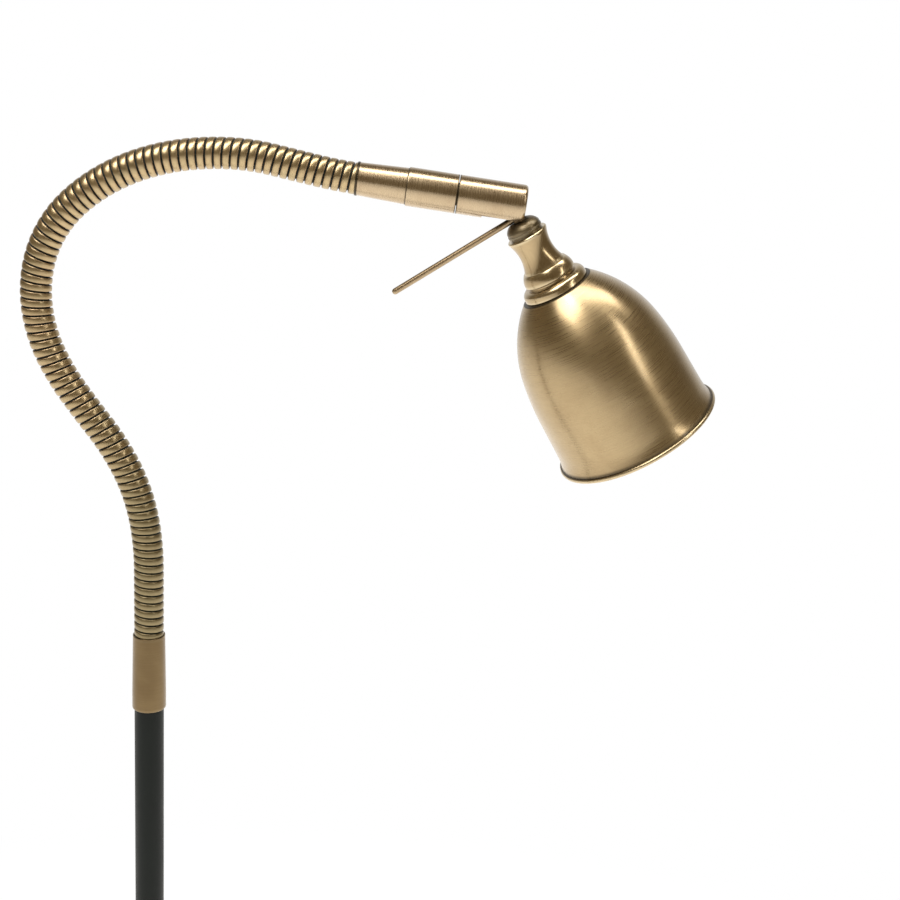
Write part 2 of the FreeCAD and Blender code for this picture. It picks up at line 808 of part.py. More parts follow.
def make_knuckle(place):
    across = FreeCAD.Rotation(FreeCAD.Vector(1, 0, 0), -90)
    half = size("knuckle_half_width")
    disc = cylinder("knuckle_disc", size("knuckle_radius"), half * 2)
    disc.Placement = FreeCAD.Placement(FreeCAD.Vector(0, -half.value, 0), across)
    stem = cylinder("knuckle_stem", size("stem_radius"), stem_end)
    hole = cylinder("knuckle_pin_hole", size("pin_radius") + fit, half * 4)
    hole.Placement = FreeCAD.Placement(FreeCAD.Vector(0, -2 * half.value, 0), across)
    rod_hole = cylinder("knuckle_rod_hole", size("rod_radius") + fit, size("cup_radius") * 2)
    lean = math.radians(size("rod_lean").value)
    rod_line = FreeCAD.Vector(math.cos(lean), 0, math.sin(lean))
    rod_height = size("cup_start") - size("rod_gap") - size("rod_radius")
    rod_place = along(rod_line, FreeCAD.Vector(0, 0, rod_height.value) + rod_line * size("rod_root").value)
    rod_hole.Placement = rod_place
    knuckle = cut("tilt_knuckle", fuse("knuckle", [disc, stem]), [hole, rod_hole])
    keep(knuckle, "tilt_knuckle", place)

    stem_bore = size("stem_radius") + fit
    cup = turned("swivel_cup", [
        (stem_bore, size("cup_start")),
        (size("cup_neck_radius"), size("cup_start"), left(size("cup_dome_arc"))),
        (size("cup_radius"), cup_cone_end),
        (size("cup_radius"), lip_low),
        (size("cup_lip_radius"), lip_low),
        (size("cup_lip_radius"), groove_low),
        (size("cup_groove_radius"), groove_low),
        (size("cup_groove_radius"), cup_end),
        (thread_bore, cup_end),
        (thread_bore, stem_end + fit),
        (stem_bore, stem_end + fit),
    ])
    keep(cup, "swivel_cup", place)

    tip = size("rod_radius")
    reach = size("rod_reach") - size("rod_root")
    rod = turned("aiming_rod", [
        (0, fit),
        (tip, fit),
        (tip, reach - tip, left(tip)),
        (0, reach),
    ])
    keep(rod, "aiming_rod", place.multiply(rod_place))


def make_neck_turnings(place):
    waist_radius = size("neck_waist_radius")
    edge = size("lip_edge")
    lip_radius = waist_radius + size("lip_overhang")
    lip_shoulder = lip_radius - edge / 2
    end_radius = waist_radius + size("upper_cove_overhang")
    neck = turned("neck_turning", [
        (thread_bore, cup_end),
        (lip_radius - edge, cup_end),
        (lip_radius, cup_end + edge),
        (lip_shoulder, lip_top, right(hollow(lip_shoulder - waist_radius, waist - lip_top))),
        (waist_radius, waist, right(hollow(end_radius - waist_radius, neck_turning_end - waist))),
        (end_radius, neck_turning_end),
        (thread_bore, neck_turning_end),
    ])
    keep(neck, "neck_turning", place)
    ring = turned("neck_ring", [
        (thread_bore, neck_turning_end),
        (size("bead_start_radius"), neck_turning_end, left(size("bead_arc"))),
        (size("bead_radius"), bead_brim),
        (size("bead_radius"), bead_slope),
        (size("bead_groove_radius"), bead_groove),
        (size("bead_groove_radius"), bead_end),
        (thread_bore, bead_end),
    ])
    keep(ring, "neck_ring", place)
    brim_radius = size("cap_flange_radius") + size("cap_brim_overhang")
    cap = turned("shade_cap", [
        (thread_bore, bead_end),
        (size("cap_start_radius"), bead_end, left(size("cap_arc"))),
        (size("cap_flange_radius"), cap_flange),
        (brim_radius, cap_brim),
        (brim_radius - size("cap_edge_inset"), cap_top),
        (thread_bore, cap_top),
    ])
    keep(cap, "shade_cap", place)


def make_shade(place):
    wall = size("shade_wall")
    bead = size("rim_bead_radius")
    dome_radius = size("shade_dome_radius")
    side_radius = dome_radius + size("shade_side_overhang")
    skirt_radius = side_radius + size("shade_skirt_overhang")
    flare_radius = skirt_radius + size("shade_flare_overhang")
    dome_top = cap_top + size("shade_dome_rise")
    side_top = dome_top + size("shade_side_rise")
    skirt_top = side_top + size("shade_skirt_rise")
    flare_top = skirt_top + size("shade_flare_rise")
    shade = turned("shade", [
        (thread_bore, cap_top),
        (size("shade_shoulder_radius"), cap_top, left(size("shade_dome_arc"))),
        (dome_radius, dome_top, left(size("shade_side_arc"))),
        (side_radius, side_top),
        (skirt_radius, skirt_top, right(size("shade_flare_arc"))),
        (flare_radius, flare_top),
        (flare_radius - wall, flare_top, left(size("shade_flare_arc") + wall)),
        (skirt_radius - wall, skirt_top),
        (side_radius - wall, side_top, right(size("shade_side_arc") - wall)),
        (dome_radius - wall, dome_top, right(size("shade_dome_arc") - wall)),
        (size("shade_shoulder_radius") - wall / 2, shade_inside),
        (thread_bore, shade_inside),
    ])
    # the rolled edge is a wire-round bead turned onto the wall's end
    ring = shade.newObject("Sketcher::SketchObject", "rim_bead_section")
    face = next(item for item in shade.Origin.OriginFeatures if item.Role == "XZ_Plane")
    ring.AttachmentSupport = [(face, "")]
    ring.MapMode = "FlatFace"
    bead_height = flare_top + size("rim_bead_rise")
    centre = FreeCAD.Vector(flare_radius.value, bead_height.value, 0)
    ring.addGeometry(Part.Circle(centre, FreeCAD.Vector(0, 0, 1), bead.value), False)
    rules = (
        (Sketcher.Constraint("Radius", 0, bead.value), bead),
        (Sketcher.Constraint("DistanceX", -1, 1, 0, 3, centre.x), flare_radius),
        (Sketcher.Constraint("DistanceY", -1, 1, 0, 3, centre.y), bead_height),
    )
    for rule, dim in rules:
        index = ring.addConstraint(rule)
        ring.setExpression(f"Constraints[{index}]", dim.text)
    roll = shade.newObject("PartDesign::Revolution", "rim_bead")
    roll.Profile = ring
    roll.ReferenceAxis = (ring, ["V_Axis"])
    roll.Angle = FULL_TURN
    keep(shade, "shade", place)


def upright_pair(name, radius, height, offset, low, across=False):
    """Two like rods each side of the head's axis, along its X or across it."""
    rods = []
    for side in (-1, 1):
        rod = cylinder(f"{name}{side}", radius, height)
        shift = side * offset.value
        level = FreeCAD.Vector(0, shift, 0) if across else FreeCAD.Vector(shift, 0, 0)
        rod.Placement.Base = level + FreeCAD.Vector(0, 0, low.value)
        rods.append(rod)
    return rods


def make_lamp(place):
    nipple_low = stem_end + size("head_nipple_gap")
    nipple_top = shade_inside + size("head_nipple_reach")
    nipple = tube("head_nipple", size("nipple_bore"), size("nipple_radius"), nipple_low, nipple_top)
    keep(nipple, "head_nipple", place)
    nut = hex_nut("holder_nut", size("nut_flats"), thread_bore, strap_top, size("nut_thickness"))
    keep(nut, "holder_nut", place)

    screw_hole = size("screw_radius") + fit
    offset = size("screw_offset")
    strap = tube("strap_disc", thread_bore, size("strap_radius"), shade_inside, strap_top)
    holes = upright_pair("strap_hole", screw_hole, size("strap_radius"), offset, cap_top, True)
    keep(cut("holder_strap", strap, holes), "holder_strap", place)

    head_low = holder_high - size("screw_sunk") - size("screw_head")
    holder = tube("holder_puck", 0, size("holder_radius"), holder_low, holder_high)
    feet = upright_pair("holder_foot", size("holder_foot_radius"), holder_low - strap_top, offset, strap_top,
                        True)
    passages = upright_pair("holder_screw_hole", screw_hole, size("holder_length") * 2, offset, cap_top, True)
    sinks = upright_pair("holder_screw_sink", size("screw_head_radius") + fit, size("holder_length"), offset,
                         head_low, True)
    pin_low = lamp_low - size("lamp_pin_length") - size("lamp_gap")
    pins = upright_pair("holder_pin_hole", size("holder_pin_hole"), size("holder_length"),
                        size("lamp_pin_offset"), pin_low)
    relief_low = holder_low - size("lead_wire_radius")
    relief = upright_pair("holder_lead_hole", size("lead_wire_radius") + fit, size("lead_wire_radius") * 4,
                          size("lead_wire_offset"), relief_low)
    body = fuse("holder_body", [holder] + feet)
    keep(cut("lampholder", body, passages + sinks + pins + relief), "lampholder", place)

    shanks = upright_pair("holder_screw", size("screw_radius"), head_low - shade_inside - fit, offset,
                          shade_inside + fit, True)
    heads = upright_pair("holder_screw_head", size("screw_head_radius"), size("screw_head"), offset, head_low,
                         True)
    keep(fuse("holder_screws", shanks + heads), "holder_screws", place)

    wires = upright_pair("holder_wire", size("lead_wire_radius"),
                         holder_low + size("lead_wire_radius") * 2 - nipple_low,
                         size("lead_wire_offset"), nipple_low)
    keep(fuse("holder_leads", wires), "holder_leads", place)

    wall = size("lamp_wall")
    base_top = lamp_low + size("lamp_base_length")
    front = size("lamp_front_radius")
    reflector_top = base_top + size("lamp_reflector_rise")
    front_top = reflector_top + size("lamp_front_rim")
    lens_low = front_top - size("lens_thickness")
    body = turned("lamp_reflector", [
        (0, lamp_low),
        (size("lamp_base_radius"), lamp_low),
        (size("lamp_base_radius"), base_top, left(size("lamp_reflector_arc"))),
        (front, reflector_top),
        (front, front_top),
        (front - wall, front_top),
        (front - wall, lens_low),
        (front - wall * 2, reflector_top, right(size("lamp_reflector_arc") - wall)),
        (size("lamp_base_radius") - wall, base_top + wall),
        (0, base_top + wall),
    ])
    prongs = upright_pair("lamp_pin", size("lamp_pin_radius"), size("lamp_pin_length") + wall,
                          size("lamp_pin_offset"), lamp_low - size("lamp_pin_length"))
    keep(fuse("lamp_body", [body] + prongs), "lamp_body", place)
    keep(tube("lamp_lens", 0, front - wall - fit, lens_low, front_top), "lamp_lens", place)


# ---------------------------------------------------------------- assembly

make_base()
make_foot()
make_pole_top()
make_inner_lead()
neck_end = make_neck()

# The arm's own frame, at the neck's end, has Z along the barrel, X down and Y across.
arm_place = neck_end
swivel_turn = FreeCAD.Rotation(FreeCAD.Vector(0, 0, 1), size("swivel_rest").value)
swivel_place = arm_place.multiply(FreeCAD.Placement(FreeCAD.Vector(), swivel_turn))
tilt_turn = FreeCAD.Rotation(FreeCAD.Vector(0, 1, 0), size("tilt_rest").value)
pivot = FreeCAD.Vector(0, 0, pivot_height.value)
head_place = swivel_place.multiply(FreeCAD.Placement(pivot, tilt_turn))

make_arm(arm_place)
make_swivel(swivel_place)
make_knuckle(head_place)
make_neck_turnings(head_place)
make_shade(head_place)
make_lamp(head_place)

doc.recompute()

for thing in doc.Objects:
    if "Invalid" in thing.State or "Error" in thing.State:
        raise RuntimeError(f"{thing.Label} failed: {thing.State}")
for label, thing in nodes.items():
    if thing.Shape.isNull() or not thing.Shape.isValid() or not thing.Shape.Solids:
        raise RuntimeError(f"{label} has no valid solid")

os.makedirs("parts", exist_ok=True)
for label, thing in nodes.items():
    thing.Shape.exportStep(f"parts/{label}.step")
print(len(nodes), "pieces; arm starts at", neck_end.Base, "pivot at", head_place.Base)
print("arm axis", arm_place.Rotation.multVec(FreeCAD.Vector(0, 0, 1)))
print("tilt axis", head_place.Rotation.multVec(FreeCAD.Vector(0, 1, 0)))
print("head axis", head_place.Rotation.multVec(FreeCAD.Vector(0, 0, 1)))
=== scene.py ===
import math

import bpy
import numpy as np
from bpy.props import FloatProperty, FloatVectorProperty, PointerProperty
from mathutils import Matrix, Vector


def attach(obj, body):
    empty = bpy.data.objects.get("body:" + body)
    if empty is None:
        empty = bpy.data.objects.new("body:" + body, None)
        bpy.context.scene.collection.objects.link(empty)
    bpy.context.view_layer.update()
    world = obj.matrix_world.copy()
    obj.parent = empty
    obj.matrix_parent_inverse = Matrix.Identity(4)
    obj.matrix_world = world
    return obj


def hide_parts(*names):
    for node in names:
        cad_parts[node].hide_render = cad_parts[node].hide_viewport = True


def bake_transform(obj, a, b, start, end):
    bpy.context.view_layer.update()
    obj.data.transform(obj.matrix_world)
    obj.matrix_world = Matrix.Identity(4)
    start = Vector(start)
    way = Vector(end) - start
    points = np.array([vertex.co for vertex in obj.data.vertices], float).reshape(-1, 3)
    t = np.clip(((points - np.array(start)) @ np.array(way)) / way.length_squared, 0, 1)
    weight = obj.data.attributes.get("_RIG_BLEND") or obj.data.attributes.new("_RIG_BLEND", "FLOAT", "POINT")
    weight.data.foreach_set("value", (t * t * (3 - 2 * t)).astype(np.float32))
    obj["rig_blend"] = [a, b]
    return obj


# The visible pieces, finishes and stage of a gooseneck reading floor lamp. Profiles and places are
# written in millimetres, as in the part's source, and become metres when a mesh is made.

bl_info = {
    "name": "Gooseneck Reading Lamp",
    "version": (1, 0, 0),
    "blender": (4, 5, 0),
    "location": "View3D > Sidebar > Reading Lamp",
    "description": "Builds the pieces, finishes and stage of a gooseneck reading floor lamp",
    "category": "Add Mesh",
}

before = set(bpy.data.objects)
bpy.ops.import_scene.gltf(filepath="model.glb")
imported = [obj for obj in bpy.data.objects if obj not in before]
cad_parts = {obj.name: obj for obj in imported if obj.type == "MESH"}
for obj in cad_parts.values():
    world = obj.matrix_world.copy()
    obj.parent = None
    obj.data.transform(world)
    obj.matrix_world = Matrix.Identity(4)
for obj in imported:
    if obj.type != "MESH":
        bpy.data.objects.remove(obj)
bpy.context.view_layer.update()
MM = 0.001
TAU = 2 * math.pi
AXIS_LIMIT = 1e-6

# ---------------------------------------------------------------- sizes and colours


class LampSizes(bpy.types.PropertyGroup):
    base_radius: FloatProperty(
        name="Base radius", description="Radius of the round base", default=0.115, min=0.05, unit="LENGTH")
    base_height: FloatProperty(
        name="Base height", description="Height of the base cover's top",
        default=0.018, min=0.01, unit="LENGTH")
    pole_radius: FloatProperty(
        name="Pole radius", description="Outer radius of the pole", default=0.007, min=0.003, unit="LENGTH")
    pole_top: FloatProperty(
        name="Pole top", description="Height of the pole's upper end", default=1.380, min=0.3, unit="LENGTH")
    neck_radius: FloatProperty(
        name="Neck radius", description="Radius over the gooseneck's coil", default=0.007, min=0.003,
        unit="LENGTH")
    coil_gap: FloatProperty(
        name="Coil gap", description="Share of a coil turn taken by the dark gap", default=0.17, min=0.05,
        max=0.5, subtype="FACTOR")
    barrel_radius: FloatProperty(
        name="Barrel radius", description="Radius of the two-part barrel", default=0.0085, min=0.004,
        unit="LENGTH")
    rod_reach: FloatProperty(
        name="Rod reach", description="How far the aiming rod stands out of the knuckle", default=0.066,
        min=0.02, unit="LENGTH")
    rim_radius: FloatProperty(
        name="Shade rim radius", description="Radius over the shade's rolled rim", default=0.0401, min=0.02,
        unit="LENGTH")


class LampFinishes(bpy.types.PropertyGroup):
    brass: FloatVectorProperty(
        name="Brass", description="Brushed antique brass", subtype="COLOR", size=3,
        default=(0.40, 0.30, 0.165), min=0, max=1)
    brass_worn: FloatVectorProperty(
        name="Worn brass", description="Brass where edges are rubbed bright", subtype="COLOR", size=3,
        default=(0.62, 0.52, 0.34), min=0, max=1)
    # Real tarnish darkening the brass's hollows; the same colour is painted shade in the bands marked at
    # seams and under the shade's rim.
    patina_and_shade: FloatVectorProperty(
        name="Patina", description="Darkened brass in hollows", subtype="COLOR", size=3,
        default=(0.045, 0.034, 0.018), min=0, max=1)
    # Painted shade: this near-black colour is painted into the gaps between the coil's turns, where shade
    # falls in the grooves.
    coil_gap: FloatVectorProperty(
        name="Coil gap colour", description="Dark metal between the coil's turns", subtype="COLOR", size=3,
        default=(0.010, 0.016, 0.010), min=0, max=1)
    pole_black: FloatVectorProperty(
        name="Pole black", description="Satin black of the pole", subtype="COLOR", size=3,
        default=(0.0045, 0.0065, 0.0055), min=0, max=1)
    base_black: FloatVectorProperty(
        name="Base black", description="Satin black of the base and foot", subtype="COLOR", size=3,
        default=(0.030, 0.030, 0.036), min=0, max=1)
    floor: FloatVectorProperty(
        name="Floor", description="Plain pale floor", subtype="COLOR", size=3,
        default=(0.86, 0.86, 0.86), min=0, max=1)


def sizes():
    return bpy.context.scene.lamp_sizes


def colours():
    return bpy.context.scene.lamp_finishes


# ---------------------------------------------------------------- places along the lamp

NECK_TURNS = (0, 0, -7, -10.5, -12, -8.5, 2, 10.5, 16, 17.5, 19.5, 19, 13, 11.5, 10, 9, 10.5, 0, -5)
LINK_LENGTH = 18.83
NECK_START = 1382.45
TURNS_PER_LINK = 5
SWIVEL_REST = 8.4
TILT_REST = 52.0
PIVOT_HEIGHT = 67.2


def shifted(x=0.0, y=0.0, z=0.0):
    return np.array(Matrix.Translation((x, y, z)))


def turned_by(axis, degrees):
    return np.array(Matrix.Rotation(math.radians(degrees), 4, axis))


def neck_line(distance):
    """The neck's centre line as arcs: for each distance along it the centre, the way across the bend
    and the way ahead. A link that turns by t over its length L has the radius L / t."""
    distance = np.asarray(distance, float)
    turns = np.radians(NECK_TURNS) + 1e-9
    headings = np.concatenate(([0.0], np.cumsum(turns)))
    span = LINK_LENGTH * (1 - np.cos(turns)) / turns, LINK_LENGTH * np.sin(turns) / turns
    step = np.stack((np.cos(headings[:-1]) * span[0] + np.sin(headings[:-1]) * span[1],
                     np.cos(headings[:-1]) * span[1] - np.sin(headings[:-1]) * span[0]), 1)
    joints = np.concatenate(([[0.0, NECK_START]], [0.0, NECK_START] + np.cumsum(step, 0)))
    link = np.clip((distance // LINK_LENGTH).astype(int), 0, len(turns) - 1)
    part = distance - link * LINK_LENGTH
    angle = turns[link] * part / LINK_LENGTH
    safe = np.where(np.abs(angle) < 1e-12, 1e-12, angle)
    sideways, forward = part * (1 - np.cos(safe)) / safe, part * np.sin(safe) / safe
    start = headings[link]
    x = joints[link, 0] + np.cos(start) * sideways + np.sin(start) * forward
    z = joints[link, 1] + np.cos(start) * forward - np.sin(start) * sideways
    heading = start + angle
    still = np.zeros_like(x)
    centre = np.stack((x, still, z), -1)
    across = np.stack((np.cos(heading), still, -np.sin(heading)), -1)
    ahead = np.stack((np.sin(heading), still, np.cos(heading)), -1)
    return centre, across, ahead


def arm_place():
    """The barrel's frame at the neck's far end: Z along the barrel, X down and Y across."""
    centre, across, ahead = neck_line(LINK_LENGTH * len(NECK_TURNS))
    place = np.eye(4)
    place[:3, 0], place[:3, 1], place[:3, 2], place[:3, 3] = across, (0, 1, 0), ahead, centre
    return place


UPRIGHT = np.eye(4)
ARM = arm_place()
SWIVEL = ARM @ turned_by("Z", SWIVEL_REST)
HEAD = SWIVEL @ shifted(z=PIVOT_HEIGHT) @ turned_by("Y", TILT_REST)
HEAD_MIDDLE = Vector(HEAD[:3, 3] + HEAD[:3, 2] * 80) * MM


# ---------------------------------------------------------------- outlines and turned surfaces

def run_points(start, end, bulge, step):
    """Points from start to end, both included: a straight run, or an arc of radius |bulge| whose
    centre is on the left of the way where bulge is positive and on the right where it is negative."""
    chord = end - start
    length = np.hypot(*chord)
    if not bulge:
        return start + np.linspace(0, 1, max(2, math.ceil(length / step) + 1))[:, None] * chord
    normal = np.array((-chord[1], chord[0])) / length * np.sign(bulge)
    centre = start + chord / 2 + normal * math.sqrt(max(bulge * bulge - length * length / 4, 0))
    first, last = start - centre, end - centre
    sweep = math.atan2(first[0] * last[1] - first[1] * last[0], first @ last)
    angles = sweep * np.linspace(0, 1, max(7, math.ceil(abs(sweep * bulge) / step) + 1))
    cos, sin = np.cos(angles), np.sin(angles)
    return centre + np.stack((cos * first[0] - sin * first[1], sin * first[0] + cos * first[1]), 1)


def outline(corners, step=1.5):
    """Close (radius, height) points round a profile. A corner is (radius, height, softness, bulge):
    softness is how far the corner is eased along its two runs, by a quadratic curve with the corner
    as its control point, and bulge is the arc to the next corner, as in run_points."""
    corners = [tuple(corner) + (0.0,) * (4 - len(corner)) for corner in corners]
    runs = []
    for index, (radius, height, soft, bulge) in enumerate(corners):
        after = corners[(index + 1) % len(corners)]
        here = np.array((radius, height), float)
        if radius == 0 and after[0] == 0:
            runs.append(here[None])
            continue
        run = run_points(here, np.array(after[:2], float), bulge, step)
        length = np.concatenate(([0.0], np.cumsum(np.hypot(*np.diff(run, axis=0).T))))
        leave, arrive = min(soft, length[-1] * 0.45), length[-1] - min(after[2], length[-1] * 0.45)
        marks = [leave, *length[(length > leave + 1e-4) & (length < arrive - 1e-4)]]
        marks = np.array(marks + [arrive] * (after[2] > 0))
        runs.append(np.stack((np.interp(marks, length, run[:, 0]), np.interp(marks, length, run[:, 1])), 1))
    points = []
    ease = np.array((0.2, 0.4, 0.6, 0.8))[:, None]
    for index, corner in enumerate(corners):
        if corner[2] > 0:
            before, after, middle = runs[index - 1][-1], runs[index][0], np.array(corner[:2])
            points.append((1 - ease) ** 2 * before + 2 * ease * (1 - ease) * middle + ease ** 2 * after)
        points.append(runs[index])
    profile = np.concatenate(points)
    following = np.roll(profile, -1, 0)
    area = np.sum(profile[:, 0] * following[:, 1] - following[:, 0] * profile[:, 1])
    return profile if area > 0 else profile[::-1]


def turned_surface(profile, columns):
    """A profile carried round its axis: the point (i, a) is (r_i cos a, r_i sin a, h_i). A point of
    the profile on the axis is one vertex, which its neighbours' row closes with triangles."""
    radius, height = profile.T
    on_axis = radius < AXIS_LIMIT
    counts = np.where(on_axis, 1, columns)
    starts = np.cumsum(counts) - counts
    rows = np.repeat(np.arange(len(profile)), counts)
    angles = (np.arange(len(rows)) - starts[rows]) * TAU / columns
    points = np.stack((radius[rows] * np.cos(angles), radius[rows] * np.sin(angles), height[rows]), 1)
    index = starts[:, None] + np.where(on_axis[:, None], 0, np.arange(columns))
    index = np.concatenate((index, index[:, :1]), 1)
    lower = np.arange(len(profile) - (1 if on_axis[0] and on_axis[-1] else 0))
    upper = (lower + 1) % len(profile)
    quads = np.stack((index[lower, :-1], index[lower, 1:], index[upper, 1:], index[upper, :-1]), -1)
    from_axis, to_axis = on_axis[lower] & ~on_axis[upper], on_axis[upper] & ~on_axis[lower]
    faces = quads[~on_axis[lower] & ~on_axis[upper]].reshape(-1, 4).tolist()
    faces += quads[from_axis][..., [0, 2, 3]].reshape(-1, 3).tolist()
    faces += quads[to_axis][..., [0, 1, 2]].reshape(-1, 3).tolist()
    return points, faces


def hollows(profile, reach=0.7):
    """How deep each profile point lies in a hollow, or how proud on an edge where negative: the
    outline's turning near it, weighed by a bell curve of that reach."""
    before, after = profile - np.roll(profile, 1, 0), np.roll(profile, -1, 0) - profile
    turn = np.arctan2(before[:, 0] * after[:, 1] - before[:, 1] * after[:, 0], np.sum(before * after, 1))
    turn[profile[:, 0] < AXIS_LIMIT] = 0
    way = np.concatenate(([0.0], np.cumsum(np.hypot(*np.diff(profile, axis=0).T))))
    apart = way[:, None] - way
    return -np.exp(-apart ** 2 / (2 * reach ** 2)) @ turn


def in_metres(points, place):
    return (points @ place[:3, :3].T + place[:3, 3]) * MM


def new_object(name, points, faces, smooth=33):
    """A mesh object at the origin, from points in metres."""
    mesh = bpy.data.meshes.new(name)
    mesh.from_pydata(points.tolist(), [], faces)
    mesh.update()
    mesh.shade_smooth()
    mesh.set_sharp_from_angle(angle=math.radians(smooth))
    thing = bpy.data.objects.new(name, mesh)
    bpy.context.scene.collection.objects.link(thing)
    return thing


def write_attribute(mesh, name, values, kind="FLOAT"):
    attribute = mesh.attributes.get(name) or mesh.attributes.new(name, kind, "POINT")
    field = "vector" if kind == "FLOAT_VECTOR" else "value"
    attribute.data.foreach_set(field, np.ascontiguousarray(values, np.float32).ravel())


def lay_finish(thing, place, profile=None):
    """Writes what the finishes read: own_place, each vertex in millimetres on the piece's own axes;
    hollow, from the nearest point of its profile; and a UV map with u round the axis and v along it."""
    mesh = thing.data
    flat = np.empty(len(mesh.vertices) * 3, np.float32)
    mesh.vertices.foreach_get("co", flat)
    own = (flat.reshape(-1, 3) / MM - place[:3, 3]) @ place[:3, :3]
    write_attribute(mesh, "own_place", own, "FLOAT_VECTOR")
    radius, height = np.hypot(own[:, 0], own[:, 1]), own[:, 2]
    deep = np.zeros(len(own))
    if profile is not None:
        gap = (radius[:, None] - profile[:, 0]) ** 2 + (height[:, None] - profile[:, 1]) ** 2
        deep = hollows(profile)[np.argmin(gap, 1)]
    write_attribute(mesh, "hollow", deep)
    corner = np.empty(len(mesh.loops), np.int32)
    mesh.loops.foreach_get("vertex_index", corner)
    first = np.empty(len(mesh.polygons), np.int32)
    count = np.empty(len(mesh.polygons), np.int32)
    mesh.polygons.foreach_get("loop_start", first)
    mesh.polygons.foreach_get("loop_total", count)
    face = np.repeat(np.arange(len(first)), count)
    middle = np.add.reduceat(own[corner], first)
    centre = np.arctan2(middle[:, 1], middle[:, 0])[face]
    offset = np.arctan2(own[corner, 1], own[corner, 0]) - centre
    offset = (offset + np.pi) % TAU - np.pi
    offset[radius[corner] < 1e-4] = 0
    layout = mesh.uv_layers.new(name="around") if not mesh.uv_layers else mesh.uv_layers[0]
    along = (height[corner] + 0.61 * radius[corner]) * 0.01
    layout.data.foreach_set("uv", np.stack(((centre + offset) / TAU, along), 1).astype(np.float32).ravel())


def paint_shade_bands(thing, *bands):
    """Paints shade into bands: raises the hollow attribute, and so the dark brass colour, to a depth within
    each band (low, high, depth) of own height. The bands are painted shade at seams between parts and a
    painted shadow line above the shade's rolled rim.
    """
    attributes = thing.data.attributes
    own = np.empty(len(thing.data.vertices) * 3, np.float32)
    attributes["own_place"].data.foreach_get("vector", own)
    deep = np.empty(len(thing.data.vertices), np.float32)
    attributes["hollow"].data.foreach_get("value", deep)
    for low, high, depth in bands:
        deep = np.where((own[2::3] > low) & (own[2::3] < high), np.maximum(deep, depth), deep)
    write_attribute(thing.data, "hollow", deep)


def ride(thing, body, finish, stands_for=()):
    thing.data.materials.clear()
    thing.data.materials.append(finish)
    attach(thing, body)
    if stands_for:
        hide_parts(*stands_for)
    return thing


def turned_piece(name, corners, place, body, finish, stands_for=(), columns=96, step=1.5):
    profile = outline(corners, step)
    points, faces = turned_surface(profile, columns)
    thing = new_object(name, in_metres(points, place), faces)
    lay_finish(thing, place, profile)
    return ride(thing, body, finish, stands_for)


# ---------------------------------------------------------------- finishes

def node(tree, kind, inputs=None, **settings):
    """Adds a node: inputs are constants, or sockets to link, by socket name or number."""
    made = tree.nodes.new(kind)
    for key, value in settings.items():
        setattr(made, key, value)
    for key, value in (inputs or {}).items():
        if isinstance(value, bpy.types.NodeSocket):
            tree.links.new(value, made.inputs[key])
        else:
            made.inputs[key].default_value = value
    return made


def ramp(tree, factor, stops):
    """A colour ramp through stops of (position, colour)."""
    made = node(tree, "ShaderNodeValToRGB", {"Fac": factor})
    elements = made.color_ramp.elements
    while len(elements) < len(stops):
        elements.new(0.5)
    for element, (position, colour) in zip(elements, stops):
        element.position = position
        element.color = (*colour, 1.0) if len(colour) == 3 else colour
    return made.outputs["Color"]


def new_finish(name, **constants):
    """A material and its Principled shader, with constants set on the shader's own sockets."""
    material = bpy.data.materials.new(name)
    material.use_nodes = True
    shader = material.node_tree.nodes["Principled BSDF"]
    for key, value in constants.items():
        shader.inputs[key.replace("_", " ")].default_value = value
    return material, material.node_tree, shader


def noise(tree, vector, scale, detail=3.0, roughness=0.55, distortion=0.0):
    made = node(tree, "ShaderNodeTexNoise", {
        "Vector": vector, "Scale": scale, "Detail": detail, "Roughness": roughness,
        "Distortion": distortion})
    return made.outputs["Fac"]


def spread(tree, value, low, high, to_low=0.0, to_high=1.0):
    made = node(tree, "ShaderNodeMapRange", {
        "Value": value, "From Min": low, "From Max": high, "To Min": to_low, "To Max": to_high},
        interpolation_type="SMOOTHSTEP")
    return made.outputs["Result"]


def calc(tree, operation, first, second=0.0):
    return node(tree, "ShaderNodeMath", {0: first, 1: second}, operation=operation).outputs[0]


def blend_colours(tree, factor, first, second):
    made = node(tree, "ShaderNodeMix", data_type="RGBA")
    for socket, value in ((0, factor), (6, first), (7, second)):
        if isinstance(value, bpy.types.NodeSocket):
            tree.links.new(value, made.inputs[socket])
        else:
            made.inputs[socket].default_value = (*value, 1.0) if socket else value
    return made.outputs[2]


def scaled(tree, vector, scale):
    return node(tree, "ShaderNodeMapping", {"Vector": vector, "Scale": scale}).outputs[0]


def own_place(tree):
    return node(tree, "ShaderNodeAttribute", attribute_name="own_place").outputs["Vector"]


def hollow_value(tree):
    return node(tree, "ShaderNodeAttribute", attribute_name="hollow").outputs["Fac"]


def shade_of(colour, factor):
    return tuple(min(1.0, channel * factor) for channel in colour)


